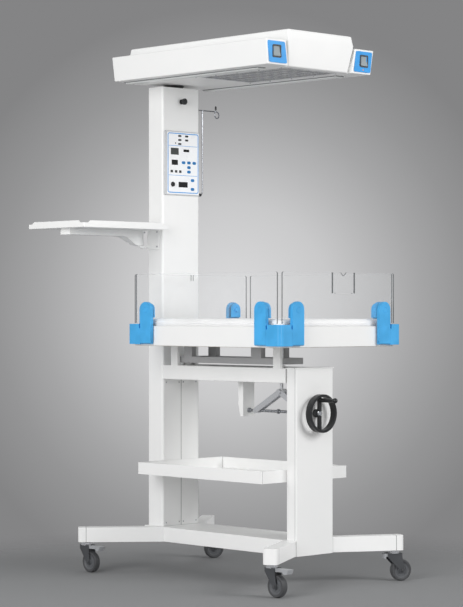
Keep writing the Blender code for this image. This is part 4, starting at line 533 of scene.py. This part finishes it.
def sheet_piece(left, right, low, high, radius, face, thickness):
    """A thin rounded plate that stands on a wall facing forward."""
    return thicken(plate_outline(left, right, low, high, radius, face), thickness)


def outline_piece(left, right, low, high, radius, line, face, thickness):
    """A rounded line drawn round a plate, as a thin closed ring."""
    bm = plate_outline(left, right, low, high, radius, face, 6)
    inner = bm.faces[:]
    bmesh.ops.inset_region(bm, faces=inner, thickness=line, use_boundary=True)
    bmesh.ops.delete(bm, geom=inner, context="FACES")
    return thicken(bm, thickness)


def faced(here, axis):
    """How squarely a surface faces along one axis, from -1 to 1."""
    return split(Flow(here.tree, here.socket.node.outputs["Normal"]))[axis]


plate_low, plate_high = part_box("control_panel")
plate_face = plate_low[1]
plate_width, plate_height = plate_high[0] - plate_low[0], plate_high[2] - plate_low[2]
bare_coat, bare_shade = seen(206, 207, 209), seen(196, 198, 200)
film_white, film_shade = seen(250, 251, 252), seen(242, 244, 247)
panel_coat = powder_coat("panel_printed_coat", bare_coat, 0.30)
here, across, _, up = spot(panel_coat)
printed = faced(here, 1) < -0.5
blur = 0.0002
for flow, axis, low_margin, high_margin in ((across, 0, 0.0115, 0.0030), (up, 2, 0.0040, 0.0045)):
    film_start, film_end = plate_low[axis] + low_margin, plate_high[axis] - high_margin
    printed = printed * flow.between(film_start - blur, film_start)
    printed = printed * flow.between(film_end + blur, film_end)
ghost = noise(here, 22.0, 3.0)
feed(panel_coat, "Base Color", blended(printed, blended(ghost, bare_coat, bare_shade),
                                       blended(ghost, film_white, film_shade)))
refined("control_panel", panel_coat, 0.0009, 2)


def across_plate(share):
    return plate_low[0] + share * plate_width


def up_plate(share):
    return plate_low[2] + share * plate_height


def printed_field(left, right, low, high, radius, face, thickness, trim=0.0):
    """A field between shares of the plate's width and height."""
    return sheet_piece(across_plate(left) + trim, across_plate(right) - trim, up_plate(low) + trim,
                       up_plate(high) - trim, radius, face, thickness)


def buttons(places, half_width, half_height, radius, thickness):
    """Like buttons on the plate, at shares of its width and height."""
    return [sheet_piece(across_plate(s) - half_width, across_plate(s) + half_width,
                        up_plate(t) - half_height, up_plate(t) + half_height, radius, plate_face,
                        thickness) for s, t in places]


print_blue = moulded("print_blue", seen(4, 142, 216), 0.40, 300.0, 0.0001)
key_blue = moulded("key_blue", seen(0, 112, 176), 0.34, 500.0, 0.0001)
display_black = finish_of("display_black_glass", seen(8, 9, 11), 0.12, Coat_Weight=0.2)
display_grey = finish_of("display_grey_glass", seen(66, 70, 69), 0.14, Coat_Weight=0.2)
for glass in (display_black, display_grey):
    here, *_ = spot(glass)
    feed(glass, "Roughness", noise(here, 60.0).between(0.3, 0.8, 0.06, 0.22))
socket_black = moulded("socket_black_plastic", seen(22, 23, 25), 0.42)

border = outline_piece(across_plate(0.085), across_plate(0.972), up_plate(0.036), up_plate(0.968),
                       0.008, 0.0030, plate_face, 0.0003)
divider_half = 0.0007
dividers = [sheet_piece(across_plate(0.110), across_plate(0.935), up_plate(t) - divider_half,
                        up_plate(t) + divider_half, 0, plate_face, 0.0002) for t in (0.770, 0.310)]
piece(gather([border, *dividers]), "panel_border_print", "stand", print_blue, "white_paint")

keys = buttons([(0.540, 0.512), (0.695, 0.514), (0.850, 0.512), (0.695, 0.440), (0.695, 0.370),
                (0.800, 0.240), (0.800, 0.102)], 0.0088, 0.0052, 0.0050, 0.0009)
for key in keys:
    ease(key, 0.0004, 2, 60)
piece(gather(keys), "panel_keys", "stand", key_blue, "blue_plastic")

ovals = buttons([(0.43, 0.925), (0.43, 0.862), (0.43, 0.800), (0.63, 0.925), (0.63, 0.862)],
                0.0078, 0.0034, 0.0030, 0.0005)
squares = buttons([(0.200, 0.370), (0.325, 0.370), (0.445, 0.370)], 0.0056, 0.0045, 0.0012, 0.0005)
small_square = printed_field(0.300, 0.318, 0.797, 0.822, 0.0010, plate_face, 0.0005)
round_socket = lathe([(0, 0.0010), (0.0048, 0.0010), (0.0052, 0.0040), (0.0078, 0.0040),
                      (0.0086, 0.0030), (0.0088, -0.0004), (0, -0.0004)],
                     (across_plate(0.228), plate_face, up_plate(0.168)), forward, 28)
piece(gather([*ovals, *squares, small_square, round_socket]), "panel_indicators", "stand",
      socket_black, "black_plastic")

window_depth = 0.0011
panes = [printed_field(*window, 0.0008, plate_face + window_depth, 0.0005, 0.0002)
         for window in ((0.175, 0.405, 0.630, 0.735), (0.540, 0.710, 0.680, 0.720),
                        (0.200, 0.380, 0.470, 0.550), (0.400, 0.665, 0.125, 0.210))]
piece(panes[0], "panel_display_large", "stand", display_grey, "black_plastic")
piece(gather(panes[1:]), "panel_displays", "stand", display_black, "black_plastic")
plate_screw = 0.0022
piece(gather([screw_head((across_plate(s), plate_face, up_plate(t)), forward, plate_screw)
              for s in (0.022, 0.985) for t in (0.012, 0.988)]),
      "panel_screws", "stand", screw_steel, "steel")


# Infusion pole
# A bent stainless wire fixed to the rear column's side at both ends. Its hook is capped in
# black, and a black collar covers the fixing at its foot.
wire_steel = plated("wire_stainless", seen(150, 152, 157), 0.24)
refined("infusion_pole", wire_steel, 0.0003, 1, 50)
pole_low, pole_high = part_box("infusion_pole")
wire_radius = 0.0023
hook_tip = (pole_high[0] - 0.0225, pole_low[1] + wire_radius, pole_high[2] - 0.0045)
piece(lathe([(0, 0.0058), (0.0022, 0.0050), (0.0032, 0.0034), (0.0034, 0.0), (0.0034, -0.0080),
             (0.0028, -0.0092), (0, -0.0092)], hook_tip, upward, 20),
      "hook_cap", "stand", socket_black, "black_plastic")
column_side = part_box("rear_column")[1][0]
pole_foot = (column_side, pole_low[1] + 0.0093, pole_low[2] + wire_radius)
piece(lathe([(0.0025, 0.0125), (0.0046, 0.0120), (0.0056, 0.0100), (0.0056, 0.0006), (0.0025, 0.0006)],
            pole_foot, -outward_left, 20),
      "pole_collar", "stand", socket_black, "black_plastic")


# Monitor shelf
# A folded steel tray with a stepped rim on a pressed swing arm, all coated white. The arm
# hangs on a pin in a bracket that four screws hold to the rear column.
for part_name in ("monitor_tray", "monitor_arm", "monitor_bracket"):
    refined(part_name, white_coat, 0.0007)
bracket_low, bracket_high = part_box("monitor_bracket")
bracket_sheet = 0.003
bracket_face = bracket_high[0] - bracket_sheet
bracket_screw = 0.0034
edge_inset, foot_inset = 0.011, 0.0115
piece(gather([screw_head((bracket_face, y, z), outward_left, bracket_screw)
              for y in (bracket_low[1] + edge_inset, bracket_high[1] - edge_inset)
              for z in (bracket_low[2] + foot_inset, bracket_high[2] - edge_inset)]),
      "bracket_screws", "stand", screw_steel, "steel")


# Storage tray
# A shallow open box of folded steel sheet with welded corners, coated white and screwed
# between the columns.
tray_low, tray_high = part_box("storage_tray")
weld_setback = 0.0030
end_depth = 0.0025
tray_coat = powder_coat("tray_powder_coat", white)
_, across, along, _ = spot(tray_coat)
welds = (fine_line(across - tray_low[0] - weld_setback, 0.0009, 0.0004)
         + fine_line(across - tray_high[0] + weld_setback, 0.0009, 0.0004))
on_ends = (along < tray_low[1] + end_depth) + (along > tray_high[1] - end_depth)
scribed(tray_coat, welds * on_ends)
refined("storage_tray", tray_coat, 0.0007)


# Beam, tilt cradle and screw jack
# Coated sheet beam and cradle, a turned lead screw with right and left hand threads, two
# nuts, flat steel links and a plated push rod that lifts the front of the bed.
for part_name in ("bed_beam", "jack_bracket"):
    refined(part_name, white_coat, 0.0009)
# The cradle's grey coat is painted shade: a white coat darkened for the shade under the bed.
refined("tilt_cradle", powder_coat("cradle_painted_shade_coat", seen(178, 178, 179)), 0.0009)
link_steel = plated("link_plated_steel", seen(226, 227, 229), 0.38)
for part_name in ("link_front", "link_rear", "nut_front", "nut_rear", "push_rod"):
    refined(part_name, link_steel, 0.0005, 2, 40)

thread_pitch = 0.003
thread_steel = plated("thread_steel", seen(150, 152, 156), 0.26)
_, _, along_screw, _ = spot(thread_steel)
bumped(thread_steel, (along_screw * (2 * pi / thread_pitch)).sine(), 0.8, 0.0006)
refined("lead_screw", thread_steel, 0.0004, 1, 40)


# Handwheel
# A one-piece moulded wheel with a deep rim and two spokes, a bright bolt at its centre and a
# free-spinning crank grip with a ball end.
wheel_black = moulded("handwheel_black_plastic", seen(20, 21, 23), 0.36, 520.0)
refined("handwheel", wheel_black, 0.0016, 3)
refined("crank_grip", wheel_black, 0.0005)
hub_reach = 0.0212
hub_point = Vector(joint_of["screw_turn"]["pos_m"]) + forward * hub_reach
piece(lathe([(0, 0.0052), (0.0020, 0.0052), (0.0028, 0.0062), (0.0072, 0.0058), (0.0082, 0.0046),
             (0.0084, 0.0012), (0.0098, 0.0008), (0.0100, -0.0004), (0, -0.0004)],
            hub_point, forward, 32),
      "handwheel_bolt", "screw", plated("bolt_bright_steel", seen(205, 207, 210), 0.18), "steel")


# Bed frame
# A coated sheet deck with deep skirts all round and a shallow well for the mattress. Along
# the skirts' lower edge, a thin beige strip is a painted shadow line.
refined("bed_frame", white_coat, 0.0035, 3)
deck_low, deck_high = (Vector(corner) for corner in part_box("bed_frame"))
shadow_line_inset = shadow_line_width = 0.004
shadow_line_below, shadow_line_above = 0.0012, 0.0020
# A beige strip under the skirts' lower edge: a painted shadow line.
shadow_line_finish = moulded("skirt_painted_shadow_line", seen(206, 200, 188), 0.5)
shadow_line_shape = lump((deck_low.x + shadow_line_inset, deck_low.y + shadow_line_inset, deck_low.z - shadow_line_below),
                  (deck_high.x - shadow_line_inset, deck_high.y - shadow_line_inset, deck_low.z + shadow_line_above))
for face in [f for f in shadow_line_shape.faces if abs(f.normal.z) > 0.5]:
    bmesh.ops.inset_region(shadow_line_shape, faces=[face], thickness=shadow_line_width)
deck_middle = (deck_low + deck_high) / 2
inner = [f for f in shadow_line_shape.faces if abs(f.normal.z) > 0.5
         and (f.calc_center_median() - deck_middle).xy.length < 0.01]
bmesh.ops.bridge_loops(shadow_line_shape, edges=[e for f in inner for e in f.edges])
bmesh.ops.delete(shadow_line_shape, geom=inner, context="FACES")
piece(shadow_line_shape, "deck_shadow_line", "bed", shadow_line_finish, "white_paint")


# Mattress
# A foam pad in a wipe-clean white cover, crowned on top, with eased corners and rims.
# It is blown up a little by a cloth simulation, so that its faces crown and its edges ease.
pad_low, pad_high = (Vector(corner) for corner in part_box("mattress"))
swell = 0.0035
swell_up = swell * 1.6
corner_radius, rim_radius = 0.030, 0.010
cover = bmesh.new()
bmesh.ops.create_cube(cover, size=1.0)
bmesh.ops.scale(cover, vec=pad_high - pad_low - Vector((swell, swell, swell_up)), verts=cover.verts)
bmesh.ops.translate(cover, vec=(pad_low + pad_high) / 2, verts=cover.verts)
upright = [e for e in cover.edges if abs((e.verts[0].co - e.verts[1].co).z) > 0.01]
bmesh.ops.bevel(cover, geom=upright, offset=corner_radius, segments=6, profile=0.5, affect="EDGES",
                material=-1)
rims = [e for e in cover.edges if abs((e.verts[0].co - e.verts[1].co).z) < 0.001
        and len(e.link_faces) == 2 and e.calc_face_angle(0) > radians(60)]
bmesh.ops.bevel(cover, geom=rims, offset=rim_radius, segments=3, profile=0.5, affect="EDGES",
                material=-1)
cover_mesh = bpy.data.meshes.new("mattress_cover")
cover.to_mesh(cover_mesh)
cover.free()
mattress = bpy.data.objects.new("mattress_cover", cover_mesh)
scene.collection.objects.link(mattress)
bpy.context.view_layer.objects.active = mattress
mattress.select_set(True)
remesh = mattress.modifiers.new("remesh", "REMESH")
remesh.mode = "VOXEL"
remesh.voxel_size = 0.006
bpy.ops.object.modifier_apply(modifier="remesh")
last_frame = 12
furthest_move = 0.0032
lowest = pad_low.z + 0.0003
rest = [vertex.co.copy() for vertex in mattress.data.vertices]
cloth = mattress.modifiers.new("cloth", "CLOTH")
cloth.settings.use_pressure = True
cloth.settings.uniform_pressure_force = 4.0
cloth.settings.effector_weights.gravity = 0.0
cloth.settings.quality = 4
cloth.point_cache.frame_end = last_frame
for step in range(1, last_frame + 1):
    scene.frame_set(step)
swollen = mattress.evaluated_get(bpy.context.evaluated_depsgraph_get()).data
moves = [(after.co - before) for before, after in zip(rest, swollen.vertices)]
mattress.modifiers.remove(cloth)
scene.frame_set(1)
for vertex, before, move in zip(mattress.data.vertices, rest, moves):
    held = min(1.0, furthest_move / move.length) if move.length else 1.0
    vertex.co = before + move * held
    vertex.co.z = max(vertex.co.z, lowest)
mattress.data.shade_smooth()
vinyl = finish_of("mattress_white_vinyl", seen(250, 250, 249), 0.5, Sheen_Weight=0.15)
here, *_ = spot(vinyl)
weave = noise(here, 380.0, 3.0)
crease = noise(here, 9.0, 4.0)
feed(vinyl, "Base Color", blended(crease.between(0.4, 0.75), seen(252, 252, 252), seen(243, 243, 244)))
feed(vinyl, "Roughness", crease.between(0.3, 0.7, 0.42, 0.58))
bumped(vinyl, weave * 0.3 + crease * 0.5, 0.20, 0.0006)
mattress.data.materials.append(vinyl)
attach(mattress, "bed")
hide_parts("mattress")


# Corner blocks and clamps
# Blue moulded corners bolted to the deck with a cove at the middle, and round-topped clamps
# on hinge pins. Each clamp carries a round moulded mark where it grips its clear panel.
clamp_blue = moulded("clamp_blue_plastic", seen(62, 162, 220), 0.42, 600.0, 0.0002)
mark_profile = [(0, 0.0003), (0.0080, 0.0003), (0.0086, 0.0010), (0.0104, 0.0010), (0.0112, 0.0002),
                (0.0112, -0.0004), (0, -0.0004)]
mark_drop = 0.027
rear_clamp_reach = 0.2125
middle_x = joint_of["head_swivel"]["pos_m"][0]


def marks(name, body, places, outward):
    """Round marks on the outer faces of clamps."""
    shapes = [lathe(mark_profile, place, outward, 32) for place in places]
    piece(gather(shapes), "clamp_marks_" + name, body, clamp_blue, "blue_plastic")


for corner in corners:
    refined("corner_block_" + corner, clamp_blue, 0.0022, 3, 35)
rear_places = []
for side, corner in ((-1, "left"), (1, "right")):
    _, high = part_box("corner_block_rear_" + corner)
    rear_places.append(Vector((middle_x + side * rear_clamp_reach, high[1], high[2] - mark_drop)))
marks("bed", "bed", rear_places, -forward)
for side, outward, ends in (("left", outward_left, ("rear", "front")),
                            ("right", -outward_left, ("rear", "front")),
                            ("front", forward, ("left", "right"))):
    places = []
    for end in ends:
        node = f"clamp_{side}_{end}"
        refined(node, clamp_blue, 0.0022, 3, 35)
        low, high = (Vector(corner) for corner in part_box(node))
        place = (low + high) / 2 + outward * abs((high - low).dot(outward)) / 2
        place.z = high.z - mark_drop
        places.append(place)
    marks("panel_" + side, "panel_" + side, places, outward)


# Clear panels
# Four sheets of 6 mm clear acrylic with polished edges, held by the clamps. The front one
# has a gate for breathing tubes.
def clear_sheet(name, box, axis):
    """Clear acrylic, nearly invisible face on and faintly wiped, with painted highlight and reflection at rims and
    grazing views and painted shade on cut edges.
    """
    clear, cut_edge_painted_shade = seen(226, 229, 231), seen(84, 88, 91)
    rim_width, rim_full = 0.0025, 0.0008
    made = finish_of(name, clear, 0.05, IOR=1.49)
    here, *sides = spot(made)

    def near_rim(k):
        """One close to the sheet's two edges along an axis."""
        half = (box[1][k] - box[0][k]) / 2
        from_middle = abs(sides[k] - (box[0][k] + box[1][k]) / 2)
        return from_middle.between(half - rim_width, half - rim_full)

    # Near the rims and at grazing angles the sheet turns whiter: a painted highlight and a painted reflection.
    edge = sum(near_rim(k) for k in (0, 1, 2) if k != axis)
    wiped = noise(here, 7.0, 4.0)
    grazing_painted_reflection = grow(made.node_tree, "ShaderNodeLayerWeight", {}, {"Blend": 0.25}, "Facing")
    # Cut edges are painted dark grey: painted shade in place of the light bent in them.
    cut = abs(faced(here, axis)) < 0.6
    haze = wiped.between(0.42, 0.8, 0.02, 0.065) + grazing_painted_reflection * 0.06
    feed(made, "Alpha", haze + edge * 0.12 + cut * 0.70)
    feed(made, "Base Color", blended(cut, clear, cut_edge_painted_shade))
    feed(made, "Roughness", wiped.between(0.3, 0.8, 0.03, 0.12))
    return made


for side, axis in (("left", 0), ("right", 0), ("front", 1), ("rear", 1)):
    node = "clear_panel_" + side
    refined(node, clear_sheet("clear_acrylic_" + side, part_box(node), axis), 0.0006, 1, 50)


# Radiant head
# White coated shells on a steel chassis: a hipped centre cover and two side modules that carry
# the lamps, each with a blue moulded front plate round its rocker switch.
def window_plate(columns, rows, thickness, face, lean=0.0):
    """A plate on a leaning wall, open in its middle; columns and rows are its four lines."""
    bm = bmesh.new()
    bmesh.ops.create_grid(bm, x_segments=3, y_segments=3, size=1.5)
    hole = min(bm.faces, key=lambda cell: cell.calc_center_median().length)
    for vert in bm.verts:
        column, row = round(vert.co.x + 1.5), round(vert.co.y + 1.5)
        vert.co = (columns[column] + lean * (rows[row] - rows[3]), face, rows[row])
    bmesh.ops.delete(bm, geom=[hole], context="FACES")
    tips = [vert for vert in bm.verts if len(vert.link_edges) == 2]
    bmesh.ops.bevel(bm, geom=tips, offset=0.006, segments=4, profile=0.5, affect="VERTICES",
                    material=-1)
    thicken(bm, thickness)
    ease(bm, 0.0003, 1, 60)
    return bm


head_white = powder_coat("head_white_enamel", seen(244, 244, 243), 0.33)
refined("head_cover", head_white, 0.0022, 3, 25)
plate_blue = moulded("plate_blue_plastic", seen(50, 150, 220), 0.36, 520.0, 0.0002)
bezel_dark = moulded("bezel_dark_plastic", seen(52, 58, 64), 0.42)
key_grey = moulded("rocker_grey_plastic", seen(138, 148, 152), 0.45)
amber = finish_of("lens_amber", seen(240, 140, 40), 0.2, Coat_Weight=0.5)
here, *_ = spot(amber)
feed(amber, "Base Color", blended(noise(here, 300.0), seen(244, 150, 46), seen(226, 112, 26)))

head_front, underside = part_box("head_cover")[0][1:]
module_setback, module_height, module_lean = 0.0022, 0.085, 0.141
module_front = head_front + module_setback
module_inner, module_outer = 0.168, 0.264
plate_margin = 0.0065
window_half_x, window_half_z = 0.0165, 0.0180
bezel_out, bezel_in = 0.0035, 0.0010
for name, side in (("left", -1), ("right", 1)):
    low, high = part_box("rocker_switch_" + name)
    window_x = [(low[0] + high[0]) / 2 + reach for reach in (-window_half_x, window_half_x)]
    window_z = [(low[2] + high[2]) / 2 + reach for reach in (-window_half_z, window_half_z)]
    plate_x = sorted(middle_x + side * reach
                     for reach in (module_inner + plate_margin, module_outer - plate_margin))
    plate = window_plate((plate_x[0], *window_x, plate_x[1]),
                         (underside + plate_margin, *window_z, underside + module_height - plate_margin),
                         0.0014, module_front + 0.0009, side * module_lean)
    piece(plate, "switch_plate_" + name, "head", plate_blue, "blue_plastic")
    lines = [(low_line - bezel_out, low_line + bezel_in, high_line - bezel_in, high_line + bezel_out)
             for low_line, high_line in (window_x, window_z)]
    bezel = window_plate(*lines, 0.0030, module_front + 0.0006)
    piece(bezel, "switch_bezel_" + name, "head", bezel_dark, "black_plastic")
    refined("rocker_switch_" + name, key_grey, 0.0008)
lens_x = joint_of["rocker_press_right"]["pos_m"][0] - 0.004
lens_rise = 0.0145
piece(lathe([(0, 0.0022), (0.0022, 0.0018), (0.0030, 0.0004), (0.0030, -0.0006), (0, -0.0006)],
            (lens_x, module_front + 0.0004, underside + lens_rise), forward, 20),
      "switch_lens", "head", amber, "black_plastic")

grille_steel = plated("grille_steel", seen(214, 215, 218), 0.36)
refined("heater_grille", grille_steel, 0.0004, 1, 50)
element_steel = plated("element_dark_steel", seen(118, 112, 106), 0.38)
refined("heater_element", element_steel, 0.0003, 1, 60)
rib_pitch = 0.006
lens_pale = finish_of("lamp_pale_lens", seen(236, 238, 236), 0.28, Coat_Weight=0.2)
_, _, along_lens, _ = spot(lens_pale)
ribs_and_painted_shade = (along_lens * (2 * pi / rib_pitch)).sine()
bumped(lens_pale, ribs_and_painted_shade, 0.5, 0.0006)
# The lens colour runs lighter on the ribs' crests and darker in their troughs: painted light and shade.
feed(lens_pale, "Base Color", blended(ribs_and_painted_shade.between(-1.0, 1.0), seen(222, 225, 224), seen(238, 240, 239)))
# Dark grey strips round each lamp strip are painted shadow, standing in for the shaded recess round the lamp.
lamp_shadow_finish = moulded("lamp_painted_shadow_grey", seen(112, 114, 117), 0.55)
lamp_shadow_width, lamp_shadow_gap, side_gap = 0.0045, 0.0004, 0.0002
lamp_shadow_low, lamp_shadow_high = underside - 0.0018, underside + 0.0004
lamp_shadow_strips = []
for name in ("left", "right"):
    refined("lamp_strip_" + name, lens_pale, 0.0006, 2, 40)
    low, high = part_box("lamp_strip_" + name)
    for x in (low[0] - lamp_shadow_width, high[0] + lamp_shadow_gap):
        lamp_shadow_strips.append(lump((x, low[1] - lamp_shadow_width, lamp_shadow_low),
                            (x + lamp_shadow_width - lamp_shadow_gap, high[1] + lamp_shadow_width, lamp_shadow_high),
                            0.0006, 1))
    for y in (low[1] - lamp_shadow_width, high[1] + lamp_shadow_gap):
        lamp_shadow_strips.append(lump((low[0] + side_gap, y, lamp_shadow_low),
                            (high[0] - side_gap, y + lamp_shadow_width - lamp_shadow_gap, lamp_shadow_high),
                            0.0006, 1))
piece(gather(lamp_shadow_strips), "lamp_painted_shadows", "head", lamp_shadow_finish, "black_plastic")
refined("head_turntable", socket_black, 0.0006, 2, 40)
chassis_screw = 0.0030
screw_reach = 0.1335
piece(gather([screw_head((middle_x + side * screw_reach, y, underside), -upward, chassis_screw)
              for side in (-1, 1) for y in (-0.352, -0.245, -0.138, -0.031, 0.070)]),
      "head_screws", "head", screw_steel, "steel")


# Head lock
# A black moulded pull knob with a knurled edge. Its stem slides in a bush on the rear column
# and holds the head where it has been turned to.
knob_x, _, knob_z = joint_of["lock_pull"]["pos_m"]
knurls, shades = 28.0, 5.0
knob_black = finish_of("knob_black_plastic", seen(38, 40, 42), 0.40)
_, across, _, up = spot(knob_black)
turn = grow(knob_black.node_tree, "ShaderNodeMath", {"operation": "ARCTAN2"},
            (up - knob_z, across - knob_x))
bumped(knob_black, (turn * knurls).sine(), 0.6, 0.0008)
feed(knob_black, "Roughness", (turn * shades).sine().between(-1.0, 1.0, 0.36, 0.44))
refined("lock_knob", knob_black, 0.0007, 2, 40)
refined("lock_bush", socket_black, 0.0005, 2, 40)
